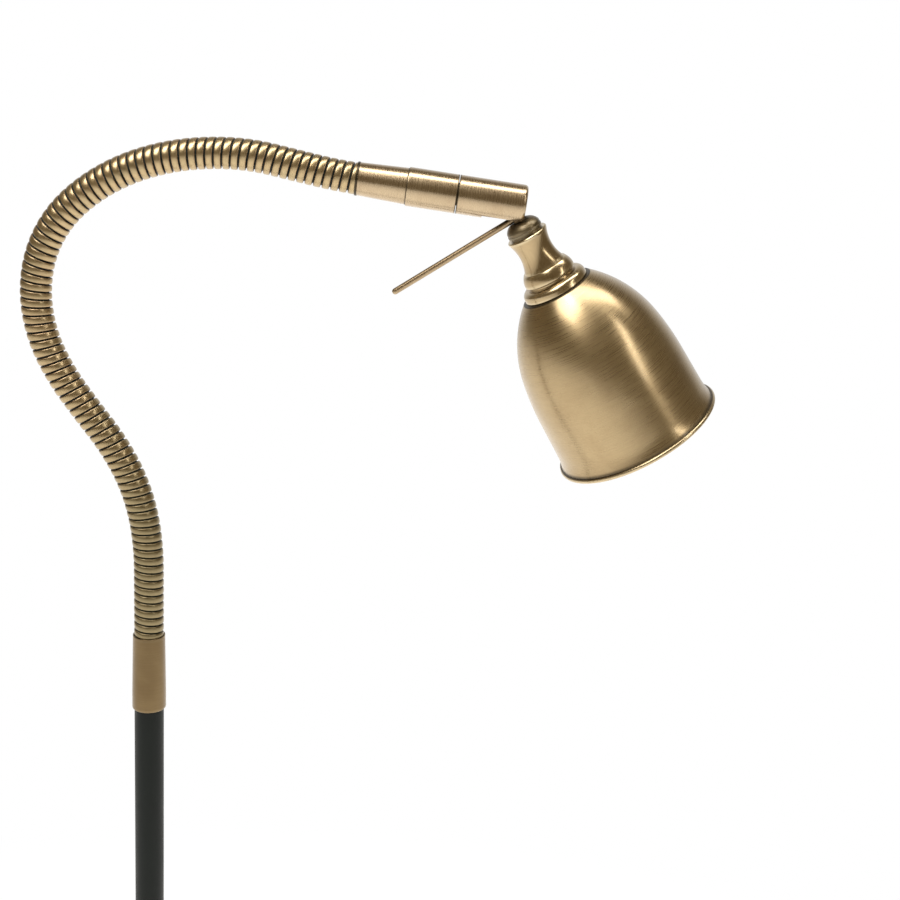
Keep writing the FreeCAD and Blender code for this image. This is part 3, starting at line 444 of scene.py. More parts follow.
def brushed_brass(name, roughness, brush, patina_and_shade=1.0, tone=1.0, anisotropy=0.0, streak=0.12, wear=0.5,
                  tint=(1.0, 1.0, 1.0)):
    """Antique brass on turned pieces. Brush lines come from a noise squeezed along brush. Hollows of the
    profile darken with the brass's own tarnish, and the bands marked at seams and under the shade's rim
    darken the same way as painted shade; wear is how far the edges are rubbed lighter."""
    finish, tree, shader = new_finish(
        name, Metallic=1.0, Anisotropic=anisotropy, Anisotropic_Rotation=0.25, Coat_Weight=0.25,
        Coat_Roughness=0.16)
    at = own_place(tree)
    lines = noise(tree, scaled(tree, at, brush), 1.0, 4.0, 0.6)
    cloud = noise(tree, at, 0.055, 3.0, 0.6, 0.4)
    freckle = noise(tree, at, 0.9, 4.0, 0.7)
    base = tuple(channel * share for channel, share in zip(colours().brass[:], tint))
    worn, dark = colours().brass_worn[:], colours().patina_and_shade[:]
    streaked = blend_colours(tree, spread(tree, lines, 0.3, 0.7, 0.5 - streak, 0.5 + streak),
                             shade_of(base, tone * 0.8), shade_of(base, tone * 1.2))
    clouded = blend_colours(tree, spread(tree, cloud, 0.35, 0.7, 0.0, 0.35), streaked,
                            shade_of((base[0] * 0.95, base[1] * 0.86, base[2] * 0.78), tone * 0.72))
    deep = hollow_value(tree)
    rubbed = blend_colours(tree, spread(tree, deep, -0.1, -0.9, 0.0, wear), clouded, shade_of(worn, tone))
    # Tarnish in the profile's hollows, and painted shade in the seam and rim bands.
    patina_and_shade_mask = calc(tree, "MULTIPLY", spread(tree, deep, 0.05, 0.9, 0.0, patina_and_shade),
                spread(tree, freckle, 0.2, 0.6, 0.75, 1.0))
    tree.links.new(blend_colours(tree, patina_and_shade_mask, rubbed, dark), shader.inputs["Base Color"])
    rough = calc(tree, "ADD", spread(tree, lines, 0.25, 0.75, roughness - 0.04, roughness + 0.05),
                 calc(tree, "MULTIPLY", patina_and_shade_mask, 0.25))
    tree.links.new(rough, shader.inputs["Roughness"])
    bump = node(tree, "ShaderNodeBump", {"Strength": 0.07, "Distance": 0.00004, "Height": lines})
    tree.links.new(bump.outputs["Normal"], shader.inputs["Normal"])
    if anisotropy:
        tangent = node(tree, "ShaderNodeTangent", direction_type="UV_MAP", uv_map="around")
        tree.links.new(tangent.outputs[0], shader.inputs["Tangent"])
    return finish


def coil_brass():
    """The gooseneck's wound strip: crowns painted lighter as a highlight, pinkish edges, and painted shade
    darkening into near-black, non-metal gaps between turns. hollow runs from 0 on the crown to 1 in the gap."""
    finish, tree, shader = new_finish("coil_brass", Coat_Weight=0.2, Coat_Roughness=0.2)
    at = own_place(tree)
    deep = hollow_value(tree)
    speck = noise(tree, at, 1.1, 4.0, 0.7)
    cloud = noise(tree, scaled(tree, at, (0.2, 0.2, 0.05)), 1.0, 2.0)
    base, gap = colours().brass[:], colours().coil_gap[:]
    # Painted highlight: the crown is painted lighter than the brass.
    crown = shade_of(base, 1.18)
    edge = (base[0] * 0.92, base[1] * 0.80, base[2] * 0.86)
    # Across the strip: painted highlight on the crown, the strip's own pinkish edge tint, then painted shade
    # deepening into the gap.
    across = ramp(tree, deep, (
        (0.0, crown), (0.30, shade_of(base, 1.0)), (0.52, edge), (0.72, shade_of(edge, 0.45)), (0.84, gap)))
    toned = blend_colours(tree, spread(tree, cloud, 0.35, 0.7, 0.0, 0.3), across,
                          shade_of((0.30, 0.26, 0.15), 1.0))
    along = node(tree, "ShaderNodeSeparateXYZ", {0: at}).outputs["Z"]
    # Darker towards the neck's lower end.
    darker_low = blend_colours(tree, spread(tree, along, 150.0, 40.0, 0.0, 0.75), toned, (0.20, 0.165, 0.085))
    worn = blend_colours(tree, spread(tree, speck, 0.45, 0.8, 0.0, 0.25), darker_low, shade_of(base, 0.6))
    # Painted shade: the gaps turn near-black and stop being metal.
    dark = spread(tree, deep, 0.70, 0.88)
    tree.links.new(blend_colours(tree, dark, worn, gap), shader.inputs["Base Color"])
    tree.links.new(calc(tree, "SUBTRACT", 1.0, dark), shader.inputs["Metallic"])
    tree.links.new(spread(tree, deep, 0.3, 0.9, 0.33, 0.75), shader.inputs["Roughness"])
    bump = node(tree, "ShaderNodeBump", {"Strength": 0.12, "Distance": 0.00004, "Height": speck})
    tree.links.new(bump.outputs["Normal"], shader.inputs["Normal"])
    return finish


def enamel(name, colour, roughness, grain, coat=0.3, shine=0.6):
    """Satin stove enamel: a fine orange-peel bump, faint cloudiness and slightly greyed edges."""
    finish, tree, shader = new_finish(
        name, Metallic=0.0, Specular_IOR_Level=shine, Coat_Weight=coat, Coat_Roughness=0.25)
    at = own_place(tree)
    peel = noise(tree, at, grain, 2.0, 0.5)
    cloud = noise(tree, at, 0.03, 4.0, 0.65)
    body = blend_colours(tree, spread(tree, cloud, 0.3, 0.7), shade_of(colour, 0.85), shade_of(colour, 1.2))
    edge = spread(tree, hollow_value(tree), -0.2, -1.1, 0.0, 0.4)
    tree.links.new(blend_colours(tree, edge, body, shade_of(colour, 3.0)), shader.inputs["Base Color"])
    tree.links.new(spread(tree, cloud, 0.3, 0.7, roughness - 0.03, roughness + 0.04),
                   shader.inputs["Roughness"])
    bump = node(tree, "ShaderNodeBump", {"Strength": 0.15, "Distance": 0.00006, "Height": peel})
    tree.links.new(bump.outputs["Normal"], shader.inputs["Normal"])
    return finish


def plain_finish(name, colour, roughness, metallic=0.0, grain=900.0, variation=0.25, bump_height=0.00005,
                 **constants):
    """A finish for parts kept from the frame, on Object coordinates in metres: cloudy colour, mottled
    roughness and a fine bump, all at the scale of the grain."""
    finish, tree, shader = new_finish(name, Metallic=metallic, **constants)
    at = node(tree, "ShaderNodeTexCoord").outputs["Object"]
    fine = noise(tree, at, grain, 4.0, 0.6)
    cloud = noise(tree, at, grain * 0.08, 3.0, 0.6)
    mixed = calc(tree, "ADD", calc(tree, "MULTIPLY", fine, 0.4), calc(tree, "MULTIPLY", cloud, 0.6))
    colour_out = blend_colours(tree, spread(tree, mixed, 0.35, 0.65), shade_of(colour, 1 - variation),
                               shade_of(colour, 1 + variation))
    tree.links.new(colour_out, shader.inputs["Base Color"])
    tree.links.new(spread(tree, mixed, 0.35, 0.65, roughness - 0.05, roughness + 0.06),
                   shader.inputs["Roughness"])
    bump = node(tree, "ShaderNodeBump", {"Strength": 0.4, "Distance": bump_height, "Height": fine})
    tree.links.new(bump.outputs["Normal"], shader.inputs["Normal"])
    return finish


def lens_glass():
    """The lamp's frosted front: milky glass with a fine pebble bump."""
    finish, tree, shader = new_finish(
        "lens_glass", Transmission_Weight=0.35, IOR=1.45, Coat_Weight=0.5, Coat_Roughness=0.08)
    at = own_place(tree)
    pebble = node(tree, "ShaderNodeTexVoronoi", {"Vector": at, "Scale": 0.55}, feature="SMOOTH_F1")
    cloud = noise(tree, at, 0.08)
    tree.links.new(blend_colours(tree, cloud, (0.80, 0.80, 0.77), (0.92, 0.92, 0.90)),
                   shader.inputs["Base Color"])
    tree.links.new(spread(tree, cloud, 0.3, 0.7, 0.28, 0.36), shader.inputs["Roughness"])
    bump = node(tree, "ShaderNodeBump", {
        "Strength": 0.5, "Distance": 0.0004, "Height": pebble.outputs["Distance"]})
    tree.links.new(bump.outputs["Normal"], shader.inputs["Normal"])
    return finish


FINISHES = {}
ROUND_BRUSH = (0.06, 0.06, 4.6)
LENGTH_BRUSH = (2.4, 2.4, 0.05)


def make_finishes():
    """All finishes by name, made once the colours are in the scene."""
    FINISHES.update({
        "shade": brushed_brass("spun_brass", 0.29, ROUND_BRUSH, 1.0, 1.0, 0.55, 0.16),
        "barrel": brushed_brass("barrel_brass", 0.27, ROUND_BRUSH, 1.0, 1.12, 0.5, 0.12, 0.05,
                                (1.0, 1.03, 1.2)),
        "turning": brushed_brass("turned_brass", 0.22, LENGTH_BRUSH, 1.2, 1.0, 0.0, 0.2),
        "rod": brushed_brass("rod_brass", 0.34, ROUND_BRUSH, 0.4, 0.9, 0.0, 0.06, 0.2, (1.0, 1.0, 1.1)),
        "sleeve": brushed_brass("sleeve_brass", 0.36, ROUND_BRUSH, 0.8, 0.50, 0.0, 0.2, 0.1,
                                (1.0, 0.92, 0.78)),
        "dark": brushed_brass("darkened_brass", 0.42, ROUND_BRUSH, 1.0, 0.38, 0.0, 0.3),
        "coil": coil_brass(),
        "pole": enamel("pole_enamel", colours().pole_black[:], 0.48, 1.4, 0.0, 0.2),
        "base": enamel("base_enamel", colours().base_black[:], 0.34, 0.9, 0.4),
        # Dark cast brass for the knuckle parts. On the steel swivel shaft the same finish is painted shade,
        # so that the seam between the barrel halves reads dark.
        "dark_cast_and_seam_shade": plain_finish("dark_cast_brass", (0.115, 0.078, 0.04), 0.45, 1.0, 700.0, 0.35),
        "steel": plain_finish("zinc_steel", (0.55, 0.56, 0.58), 0.32, 1.0),
        "iron": plain_finish("cast_iron", (0.10, 0.10, 0.105), 0.7, 0.4, 420.0, 0.3, 0.0003),
        "felt": plain_finish("felt_pad", (0.035, 0.035, 0.037), 0.95, 0.0, 1500.0, 0.4, 0.0004,
                             Sheen_Weight=0.4, Sheen_Roughness=0.5),
        "rubber": plain_finish("black_rubber", (0.022, 0.022, 0.023), 0.62, 0.0, 1100.0),
        "bush": plain_finish("acetal_bush", (0.75, 0.73, 0.68), 0.4, 0.0, 800.0, 0.06),
        "porcelain": plain_finish("steatite", (0.83, 0.82, 0.77), 0.5, 0.0, 1200.0, 0.06, 0.00004,
                                  Subsurface_Weight=0.05),
        "lamp": plain_finish("lamp_housing", (0.80, 0.80, 0.78), 0.38, 0.0, 600.0, 0.05),
        "lens": lens_glass(),
    })


KEPT_NODES = {
    # The swivel shaft is steel: its dark finish is painted shade in the barrel seam.
    "dark_cast_and_seam_shade": ("tilt_knuckle", "knuckle_cradle", "swivel_shaft"),
    "steel": ("base_nut", "base_washer", "foot_nipple", "ferrule_nut", "shaft_washer", "shaft_nut",
              "pivot_pin", "friction_washers", "head_nipple", "holder_nut", "holder_strap",
              "holder_screws", "pole_foot_insert", "neck_socket"),
    "iron": ("base_weight",),
    "felt": ("floor_pad",),
    "rubber": ("inner_lead", "holder_leads"),
    "bush": ("swivel_bush",),
    "porcelain": ("lampholder",),
}


# ---------------------------------------------------------------- operators


class PieceOperator:
    bl_options = {"REGISTER", "UNDO"}

    def execute(self, context):
        self.build(sizes())
        return {"FINISHED"}


class LAMP_OT_base(PieceOperator, bpy.types.Operator):
    """Build the base's pressed cover and the rubber inlet at its back"""

    bl_idname = "lamp.base"
    bl_label = "Base"

    def build(self, size):
        radius, top = size.base_radius / MM, size.base_height / MM
        inner = radius - 1.2
        turned_piece("base_dish", (
            (inner, 1.2, 0.15), (radius, 1.2, 0.3), (radius, top - 2.5, 0, 2.5), (radius - 2.5, top),
            (4.95, top), (4.95, top - 1.2), (radius - 2.5, top - 1.2, 0, -1.3), (inner, top - 2.5),
        ), UPRIGHT, "stand", FINISHES["base"], ("base_cover",), 256, 4.0)
        seat = shifted(x=-111.05, z=6.4) @ turned_by("Y", -90)
        turned_piece("inlet_grommet", (
            (2.45, 0.0, 0.2), (3.8, 0.0, 0.2), (3.8, 4.0), (5.2, 4.0, 0.2), (5.2, 4.6, 0.3),
            (4.6, 5.2, 0.3), (2.45, 5.2, 0.3),
        ), seat, "stand", FINISHES["rubber"], ("cord_grommet",), 48, 0.6)


class LAMP_OT_foot(PieceOperator, bpy.types.Operator):
    """Build the turned foot between the base and the pole"""

    bl_idname = "lamp.foot"
    bl_label = "Foot"

    def build(self, size):
        low = size.base_height / MM
        turned_piece("foot_baluster", (
            (4.95, low), (13.5, low, 0.3), (13.5, low + 3.0, 0.5, -19.8), (7.7, low + 17.0, 0, -39.6),
            (9.2, low + 27.8, 0.15), (10.2, low + 28.87, 0.35), (10.2, low + 29.93, 0.35),
            (9.2, low + 31.0, 0.3), (7.05, low + 31.0, 0.2), (7.05, low + 28.0), (4.95, low + 28.0),
        ), UPRIGHT, "stand", FINISHES["base"], ("foot_turning",), 128, 0.8)


class LAMP_OT_pole(PieceOperator, bpy.types.Operator):
    """Build the straight enamelled pole"""

    bl_idname = "lamp.pole"
    bl_label = "Pole"

    def build(self, size):
        radius, top = size.pole_radius / MM, size.pole_top / MM
        turned_piece("pole_tube", (
            (radius - 1.0, 46.0), (radius, 46.0), (radius, top, 0.2), (radius - 1.0, top, 0.2),
        ), UPRIGHT, "stand", FINISHES["pole"], ("pole",), 96, 30.0)


class LAMP_OT_sleeve(PieceOperator, bpy.types.Operator):
    """Build the brass sleeve over the joint of pole and neck"""

    bl_idname = "lamp.sleeve"
    bl_label = "Sleeve"

    def build(self, size):
        low = size.pole_top / MM - 30.0
        turned_piece("brass_sleeve", (
            (7.15, low, 0.15), (7.25, low, 0, 0.8), (8.05, low + 0.8), (8.05, low + 9.0, 1.0),
            (7.6, low + 38.0, 0.18), (7.15, low + 38.0, 0.12),
        ), UPRIGHT, "stand", FINISHES["sleeve"], ("neck_sleeve",), 96, 1.0)


COIL_STEPS = 72
COIL_BORE = 4.0
BEND_INSET = 0.85  # pitches from a link's middle to its bend, and from the bend to the next middle
BARREL_WALL = 1.2


def strip_section(radius, gap):
    """One coil turn's section: (share of the pitch, radius, depth), from gap middle to gap middle. The
    strip's crown is a flat arch, and its two edges roll into the gap."""
    half = gap / 2
    shares = np.array((0.0, 0.6 * half, half, half + 0.015, half + 0.035, half + 0.065, half + 0.11,
                       half + 0.18, 0.36, 0.44, 0.5))
    drops = np.array((1.30, 1.25, 0.85, 0.50, 0.31, 0.19, 0.115, 0.06, 0.025, 0.006, 0.0))
    depths = np.array((1.0, 1.0, 0.90, 0.74, 0.58, 0.46, 0.34, 0.22, 0.10, 0.03, 0.0))
    return (np.concatenate((shares, 1 - shares[-2::-1])), radius - np.concatenate((drops, drops[-2::-1])),
            np.concatenate((depths, depths[-2::-1])))


def coil_piece(name, first_turn, turns, start, radius, gap):
    """A stretch of the wound neck as one closed solid. Step i and section point v lie at the distance
    start + pitch (i / steps + v) along the neck and at the angle -2 pi i / steps round it, so that each
    turn's last row is the next turn's first. A plain bore closes it inside."""
    shares, radii, depths = strip_section(radius, gap)
    pitch = LINK_LENGTH / TURNS_PER_LINK
    wide, steps = len(shares) - 1, turns * COIL_STEPS
    outer = (steps + 1, wide)
    step, row = np.meshgrid(np.arange(outer[0]), np.arange(wide), indexing="ij")
    tail = np.arange(steps + 1 - COIL_STEPS, steps + 1)
    step = np.concatenate((step.ravel(), tail, np.arange(steps + 1 + COIL_STEPS)))
    share = np.concatenate((shares[row.ravel()], np.ones(len(tail)), np.zeros(steps + 1 + COIL_STEPS)))
    bore = np.full(steps + 1 + COIL_STEPS, COIL_BORE)
    reach = np.concatenate((radii[row.ravel()], np.full(len(tail), radii[-1]), bore))
    depth = np.concatenate((depths[row.ravel()], np.ones(len(tail)), np.ones(len(bore))))
    along = start + pitch * (first_turn + step / COIL_STEPS + share)
    angle = -TAU * step / COIL_STEPS
    centre, across, _ = neck_line(along)
    sideways = np.array((0.0, 1.0, 0.0))
    points = centre + reach[:, None] * (np.cos(angle)[:, None] * across + np.sin(angle)[:, None] * sideways)
    count = outer[0] * wide
    grid = np.arange(count).reshape(outer)
    last = np.concatenate((grid[COIL_STEPS:, 0], count + np.arange(COIL_STEPS)))
    grid = np.concatenate((grid, last[:, None]), 1)
    inner = count + COIL_STEPS + np.arange(steps + 1 + COIL_STEPS)
    skin = np.stack((grid[:-1, :-1], grid[:-1, 1:], grid[1:, 1:], grid[1:, :-1]), -1).reshape(-1, 4)
    wall = np.stack((inner[:steps], inner[1:steps + 1], inner[COIL_STEPS + 1:], inner[COIL_STEPS:-1]), -1)
    rim, last_rim = grid[:COIL_STEPS + 1, 0], grid[-COIL_STEPS - 1:, -1]
    foot = np.stack((rim[:-1], rim[1:], inner[1:COIL_STEPS + 1], inner[:COIL_STEPS]), -1)
    ahead = inner[-COIL_STEPS - 1:]
    crest = np.stack((last_rim[:-1], ahead[:-1], ahead[1:], last_rim[1:]), -1)
    faces = np.concatenate((skin, wall, foot, crest)).tolist()
    faces.append([int(i) for i in (*grid[0], inner[COIL_STEPS], inner[0])][::-1])
    faces.append([int(i) for i in (*grid[-1], inner[-1], inner[-COIL_STEPS - 1])])
    thing = new_object(name, points * MM, faces, 75)
    own = np.stack((reach * np.cos(angle), reach * np.sin(angle), along), 1)
    write_attribute(thing.data, "own_place", own, "FLOAT_VECTOR")
    write_attribute(thing.data, "hollow", depth)
    return thing


class LAMP_OT_neck(PieceOperator, bpy.types.Operator):
    """Build the gooseneck's wound coil, one bending stretch for each joint"""

    bl_idname = "lamp.neck"
    bl_label = "Gooseneck"

    def build(self, size):
        radius, gap = size.neck_radius / MM, size.coil_gap
        pitch = LINK_LENGTH / TURNS_PER_LINK
        bodies = ["stand", *[f"neck_{number:02d}" for number in range(2, 19)], "arm"]
        middle = LINK_LENGTH / 2 - pitch / 2
        for number in range(1, 19):
            first = (number - 1) * TURNS_PER_LINK
            turns = TURNS_PER_LINK
            stands_for = [f"neck_link_{number:02d}"]
            if number == 1:
                first, turns = first - 2, turns + 2
            if number == 18:
                turns += 3
                stands_for.append("neck_link_19")
            thing = coil_piece(f"neck_coil_{number:02d}", first, turns, middle, radius, gap)
            thing.data.materials.append(FINISHES["coil"])
            begin, _, _ = neck_line(LINK_LENGTH * (number - 0.5) + pitch * BEND_INSET)
            end, _, _ = neck_line(LINK_LENGTH * (number + 0.5) - pitch * BEND_INSET)
            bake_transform(thing, bodies[number - 1], bodies[number], start=begin * MM, end=end * MM)
            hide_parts(*stands_for)


class LAMP_OT_barrel(PieceOperator, bpy.types.Operator):
    """Build the ferrule and both halves of the swivelling barrel"""

    bl_idname = "lamp.barrel"
    bl_label = "Ferrule and barrel"

    def build(self, size):
        radius = size.barrel_radius / MM
        bore = radius - BARREL_WALL
        ferrule = turned_piece("neck_ferrule", (
            (2.3, -4.35), (3.95, -4.35, 0.2), (3.95, -0.55), (7.45, -0.55, 0.2), (7.45, 0.55, 0.15),
            (7.2, 0.6, 0.1), (8.0, 22.1), (5.0, 22.1), (5.0, 28.8, 0.2), (2.3, 28.8),
        ), ARM, "arm", FINISHES["barrel"], ("upper_ferrule",), 96, 1.0)
        # Painted shade: a dark ring where the coil meets the ferrule, and a dark band where the ferrule meets
        # the rear barrel.
        paint_shade_bands(ferrule, (-9.0, 0.58, 1.2), (21.6, 22.2, 1.0))
        rear = turned_piece("rear_barrel", (
            (5.05, 22.1), (radius, 22.1, 0.35), (radius, 44.2, 0.12), (bore, 44.2, 0.1), (bore, 25.1),
            (5.05, 25.1),
        ), ARM, "arm", FINISHES["barrel"], ("barrel_rear",), 96, 1.0)
        # Painted shade at both seams of the rear barrel.
        paint_shade_bands(rear, (22.0, 22.3, 1.0), (44.05, 44.3, 1.0))
        self.front_barrel(radius, bore)

    def front_barrel(self, radius, bore):
        """The turned shell, less a slot on its underside that opens through the end face."""
        corners = (
            (bore, 44.5, 0.1), (radius, 44.5, 0.12), (radius, 73.2, 0, 1.6), (radius - 1.6, 74.8),
            (0, 74.8), (0, 73.3), (bore, 73.3))
        profile = outline(corners, 1.0)
        points, faces = turned_surface(profile, 96)
        shell = new_object("front_barrel", points * MM, faces)
        side = np.array(((0, 56.2), (20, 56.2), (20, 90), (-3.6, 90), (-3.6, 67.2), (0, 67.2)))
        count = len(side)
        block = np.concatenate([np.insert(side, 1, across, 1) for across in (-5.2, 5.2)])
        ring = np.arange(count)
        walls = np.stack((ring, np.roll(ring, -1), np.roll(ring, -1) + count, ring + count), 1).tolist()
        cutter = new_object("slot_block", block * MM, [*walls, ring[::-1].tolist(), (ring + count).tolist()])
        cutter.data.flip_normals()
        away = shell.modifiers.new("slot", "BOOLEAN")
        away.operation, away.solver, away.object = "DIFFERENCE", "EXACT", cutter
        shell.data = bpy.data.meshes.new_from_object(
            shell.evaluated_get(bpy.context.evaluated_depsgraph_get()))
        shell.modifiers.clear()
        bpy.data.objects.remove(cutter)
        place = SWIVEL.copy()
        place[:3, 3] *= MM
        shell.data.transform(Matrix(place))
        shell.data.name = shell.name
        shell.data.shade_smooth()
        shell.data.set_sharp_from_angle(angle=math.radians(33))
        lay_finish(shell, SWIVEL, profile)
        # Painted shade at the seam with the rear barrel.
        paint_shade_bands(shell, (44.4, 44.65, 1.0))
        ride(shell, "swivel", FINISHES["barrel"], ("barrel_front",))


class LAMP_OT_cup(PieceOperator, bpy.types.Operator):
    """Build the dark cup under the tilt knuckle and the aiming rod that stands out of it"""

    bl_idname = "lamp.cup"
    bl_label = "Cup and rod"

    def build(self, size):
        turned_piece("knuckle_cup", (
            (2.65, 9.4), (3.8, 9.4, 0.2, 5.5), (7.9, 12.8, 0.2), (7.9, 14.0), (8.1, 14.0, 0.12),
            (8.1, 14.9, 0.2), (7.4, 14.9, 0.1), (7.4, 16.1), (4.95, 16.1), (4.95, 13.35), (2.65, 13.35),
        ), HEAD, "head", FINISHES["dark"], ("swivel_cup",), 96, 0.5)
        reach = size.rod_reach / MM - 0.6
        lean = HEAD @ shifted(z=7.7) @ turned_by("Y", 90 - 2.75) @ shifted(z=0.6)
        turned_piece("sighting_rod", (
            (0, 0.05), (1.45, 0.05), (1.45, reach - 1.45, 0, 1.45), (0, reach),
        ), lean, "head", FINISHES["rod"], ("aiming_rod",), 40, 1.2)


class LAMP_OT_turnings(PieceOperator, bpy.types.Operator):
    """Build the turned neck, the bead ring and the cap above the shade"""

    bl_idname = "lamp.turnings"
    bl_label = "Neck, bead and cap"

    def build(self, size):
        bore = 4.95
        turned_piece("cove_neck", (
            (bore, 16.1), (9.0, 16.1, 0.2), (9.5, 16.6, 0.25), (9.25, 17.7, 0.2, -19.35),
            (7.9, 24.8, 0, -17.4), (9.8, 32.7, 0.25), (bore, 32.7),
        ), HEAD, "head", FINISHES["turning"], ("neck_turning",), 128, 0.5)
        turned_piece("bead", (
            (bore, 32.7), (10.3, 32.7, 0.15, 9.0), (12.15, 37.2), (12.15, 38.0, 0.15), (10.9, 38.4, 0.1),
            (10.9, 39.6), (bore, 39.6),
        ), HEAD, "head", FINISHES["turning"], ("neck_ring",), 128, 0.4)
        turned_piece("cap_flange", (
            (bore, 39.6), (12.4, 39.6, 0.15, 3.2), (15.1, 42.0), (15.35, 44.0, 0.2), (15.0, 44.5, 0.1),
            (bore, 44.5),
        ), HEAD, "head", FINISHES["turning"], ("shade_cap",), 128, 0.4)


class LAMP_OT_shade(PieceOperator, bpy.types.Operator):
    """Build the spun bell shade with its flared skirt and rolled rim"""

    bl_idname = "lamp.shade"
    bl_label = "Bell shade"

    def build(self, size):
        rim = size.rim_radius / MM - 1.1
        shell = turned_piece("bell_shade", (
            (4.95, 44.5), (16.5, 44.5, 0.2, 59.3), (34.4, 76.3, 0, 132.0), (36.9, 97.5),
            (37.6, 116.4, 0, -25.5),
            (rim - 0.134, 123.308, 0, 1.1), (rim + 1.083, 124.591, 0, 1.1), (rim - 0.376, 125.434, 0, 1.1),
            (rim - 0.901, 123.769, 0, 26.3), (36.8, 116.4), (36.1, 97.5, 0, -131.2),
            (33.6, 76.3, 0, -58.5), (16.1, 45.3), (4.95, 45.3),
        ), HEAD, "head", FINISHES["shade"], ("shade",), 256, 1.0)
        # Painted shade: a shadow line above the rolled rim, and a dark band where the cap sits on the shade.
        paint_shade_bands(shell, (122.6, 123.45, 0.7), (44.4, 44.7, 1.0))


class LAMP_OT_lamp(PieceOperator, bpy.types.Operator):
    """Build the reflector lamp and its frosted front"""

    bl_idname = "lamp.lamp"
    bl_label = "Reflector lamp"

    def build(self, size):
        turned_piece("reflector_bulb", (
            (0, 66.1), (9.8, 66.1, 0.4), (9.8, 74.1, 0.6, 46.0), (25.0, 106.4, 0.4), (25.0, 112.8, 0.4),
            (23.9, 112.8, 0.3), (23.9, 110.6), (22.8, 106.4, 0, -44.9), (8.7, 75.2), (0, 75.2),
        ), HEAD, "head", FINISHES["lamp"], ("lamp_body",), 128, 1.0)
        turned_piece("frosted_front", (
            (0, 110.6), (23.85, 110.6, 0.2), (23.85, 112.2, 0.4), (21.6, 112.7, 0.4, 300.0), (0, 112.8),
        ), HEAD, "head", FINISHES["lens"], ("lamp_lens",), 128, 1.0)


class LAMP_OT_kept(PieceOperator, bpy.types.Operator):
    """Give the parts kept from the frame their finishes"""

    bl_idname = "lamp.kept"
    bl_label = "Kept parts"

    def build(self, size):
        for finish, names in KEPT_NODES.items():
            for name in names:
                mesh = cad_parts[name].data
                mesh.materials.clear()
                mesh.materials.append(FINISHES[finish])


# ---------------------------------------------------------------- stage

CAMERA_PLACE = (0.139188660, -0.612340198, 1.65171661)
CAMERA_LENS = 55.0
CAMERA_DROP = 15.0
CAMERA_ROLL = 3.2271
FLOOR_RADIUS = 9.0


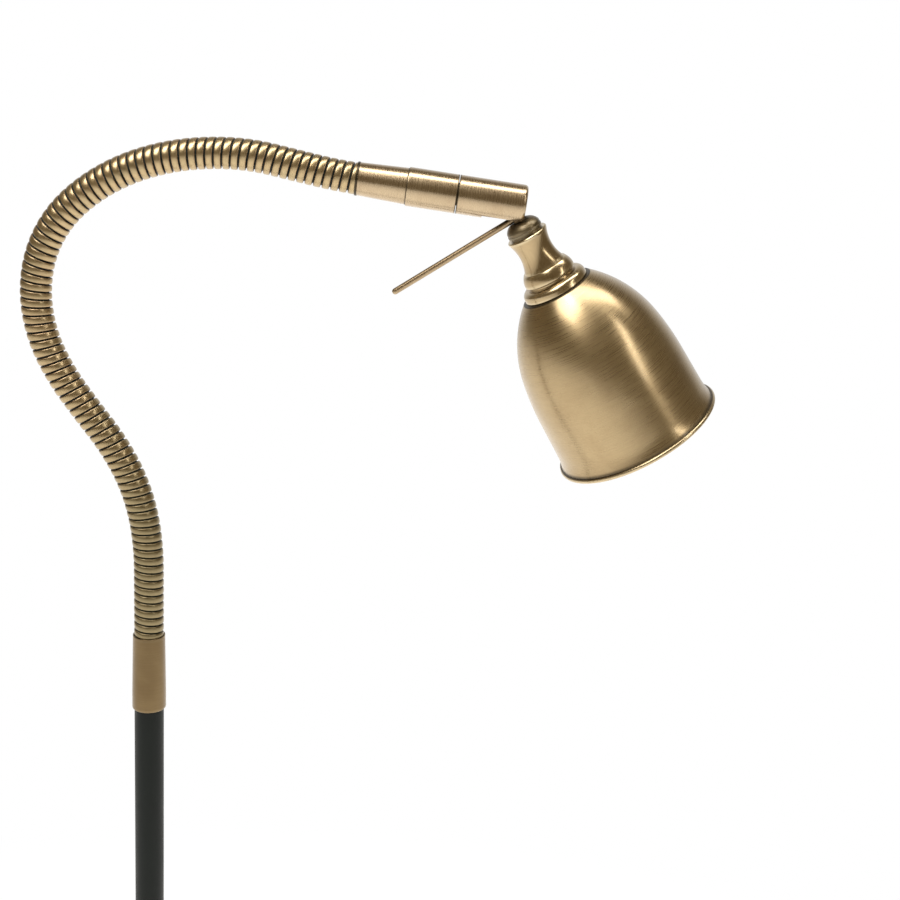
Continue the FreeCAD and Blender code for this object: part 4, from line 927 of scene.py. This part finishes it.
class LAMP_OT_stage(bpy.types.Operator):
    """Set up the camera, the pale floor and the soft studio light"""

    bl_idname = "lamp.stage"
    bl_label = "Stage"
    bl_options = {"REGISTER", "UNDO"}

    def execute(self, context):
        self.camera(context)
        self.floor()
        self.lights()
        self.sky(context)
        context.scene.view_settings.view_transform = "Standard"
        return {"FINISHED"}

    def camera(self, context):
        eye = bpy.data.cameras.new("camera")
        eye.lens, eye.sensor_width = CAMERA_LENS, 36.0
        eye.clip_start, eye.clip_end = 0.01, 200.0
        stand = bpy.data.objects.new("camera", eye)
        context.scene.collection.objects.link(stand)
        drop, roll = math.radians(CAMERA_DROP), math.radians(CAMERA_ROLL)
        ahead = Vector((0, math.cos(drop), -math.sin(drop)))
        level, upright = Vector((1, 0, 0)), Vector((0, math.sin(drop), math.cos(drop)))
        right = level * math.cos(roll) + upright * math.sin(roll)
        up = upright * math.cos(roll) - level * math.sin(roll)
        turn = Matrix((right, up, -ahead)).transposed()
        stand.matrix_world = Matrix.Translation(CAMERA_PLACE) @ turn.to_4x4()
        context.scene.camera = stand

    def floor(self):
        """A round floor: a thin slab turned about the lamp's axis, its top just under the pad."""
        slab = np.array(((0, -0.05), (FLOOR_RADIUS, -0.05), (FLOOR_RADIUS, -0.0004), (0, -0.0004)))
        thing = new_object("floor", *turned_surface(slab, 96))
        finish, tree, shader = new_finish("pale_floor", Roughness=0.75)
        shader.inputs["Specular IOR Level"].default_value = 0.2
        at = node(tree, "ShaderNodeTexCoord").outputs["Object"]
        tone = colours().floor[:]
        soft = noise(tree, at, 1.5, 2.0)
        tree.links.new(blend_colours(tree, soft, shade_of(tone, 0.99), shade_of(tone, 1.01)),
                       shader.inputs["Base Color"])
        away = node(tree, "ShaderNodeVectorMath", {0: at}, operation="LENGTH").outputs["Value"]
        seen = node(tree, "ShaderNodeLightPath").outputs["Is Camera Ray"]
        white = node(tree, "ShaderNodeEmission", {"Color": (1, 1, 1, 1), "Strength": 1.0})
        far = calc(tree, "MULTIPLY", spread(tree, away, 0.7, 2.2), seen)
        both = node(tree, "ShaderNodeMixShader", {0: far, 1: shader.outputs[0], 2: white.outputs[0]})
        tree.links.new(both.outputs[0], tree.nodes["Material Output"].inputs["Surface"])
        thing.data.materials.append(finish)

    def lights(self):
        """Large soft boxes: (name, place, aimed at, width, height, watts, colour)."""
        head = tuple(HEAD_MIDDLE)
        for name, place, aim, wide, high, power, colour in (
            ("key", (-0.95, -1.15, 3.4), head, 1.3, 1.3, 34, (1.0, 0.985, 0.96)),
            ("overhead", (0.3, -0.35, 3.6), (0.1, 0.0, 1.6), 2.6, 0.6, 35, (1.0, 0.99, 0.97)),
            ("strip", (1.7, -1.2, 2.6), head, 0.25, 1.6, 8, (1.0, 0.98, 0.95)),
            ("floor_wash", (0.0, 2.0, 7.0), (0.0, 2.0, 0.0), 16.0, 16.0, 1500, (1.0, 1.0, 1.0)),
        ):
            lamp = bpy.data.lights.new(name, "AREA")
            lamp.shape, lamp.size, lamp.size_y = "RECTANGLE", wide, high
            lamp.energy, lamp.color = power, colour
            thing = bpy.data.objects.new(name, lamp)
            bpy.context.scene.collection.objects.link(thing)
            away = Vector(place) - Vector(aim)
            thing.matrix_world = Matrix.Translation(place) @ away.to_track_quat("Z", "Y").to_matrix().to_4x4()
            thing.visible_camera = False
            thing.visible_glossy = name != "floor_wash"

    def sky(self, context):
        """White to the eye; to everything else a dim room that is bright only behind the lamp."""
        world = bpy.data.worlds.new("studio")
        context.scene.world = world
        world.use_nodes = True
        tree = world.node_tree
        room = tree.nodes["Background"]
        way = node(tree, "ShaderNodeTexCoord").outputs["Generated"]
        depth = node(tree, "ShaderNodeSeparateXYZ", {0: way}).outputs["Y"]
        tree.links.new(ramp(tree, depth, (
            (0.0, (0.23, 0.185, 0.12)), (0.50, (0.25, 0.21, 0.15)), (0.88, (0.9, 0.9, 0.9)))),
            room.inputs["Color"])
        white = node(tree, "ShaderNodeBackground", {"Color": (1, 1, 1, 1), "Strength": 1.0})
        seen = node(tree, "ShaderNodeLightPath").outputs["Is Camera Ray"]
        both = node(tree, "ShaderNodeMixShader", {0: seen, 1: room.outputs[0], 2: white.outputs[0]})
        tree.links.new(both.outputs[0], tree.nodes["World Output"].inputs["Surface"])


class LAMP_PT_panel(bpy.types.Panel):
    """Lists the lamp's sizes, finishes and pieces"""

    bl_idname = "LAMP_PT_panel"
    bl_label = "Reading Lamp"
    bl_space_type = "VIEW_3D"
    bl_region_type = "UI"
    bl_category = "Reading Lamp"

    def draw(self, context):
        for group in (sizes(), colours()):
            box = self.layout.box()
            for name in group.__annotations__:
                box.prop(group, name)
        for operator in PIECES:
            self.layout.operator(operator.bl_idname)


PIECES = (LAMP_OT_base, LAMP_OT_foot, LAMP_OT_pole, LAMP_OT_sleeve, LAMP_OT_neck, LAMP_OT_barrel, LAMP_OT_cup,
          LAMP_OT_turnings, LAMP_OT_shade, LAMP_OT_lamp, LAMP_OT_kept, LAMP_OT_stage)
CLASSES = (LampSizes, LampFinishes, *PIECES, LAMP_PT_panel)


def register():
    for cls in CLASSES:
        bpy.utils.register_class(cls)
    bpy.types.Scene.lamp_sizes = PointerProperty(type=LampSizes)
    bpy.types.Scene.lamp_finishes = PointerProperty(type=LampFinishes)


def unregister():
    del bpy.types.Scene.lamp_finishes
    del bpy.types.Scene.lamp_sizes
    for cls in reversed(CLASSES):
        bpy.utils.unregister_class(cls)


def main():
    register()
    make_finishes()
    for operator in PIECES:
        group, name = operator.bl_idname.split(".")
        getattr(getattr(bpy.ops, group), name)()


if __name__ == "__main__":
    main()
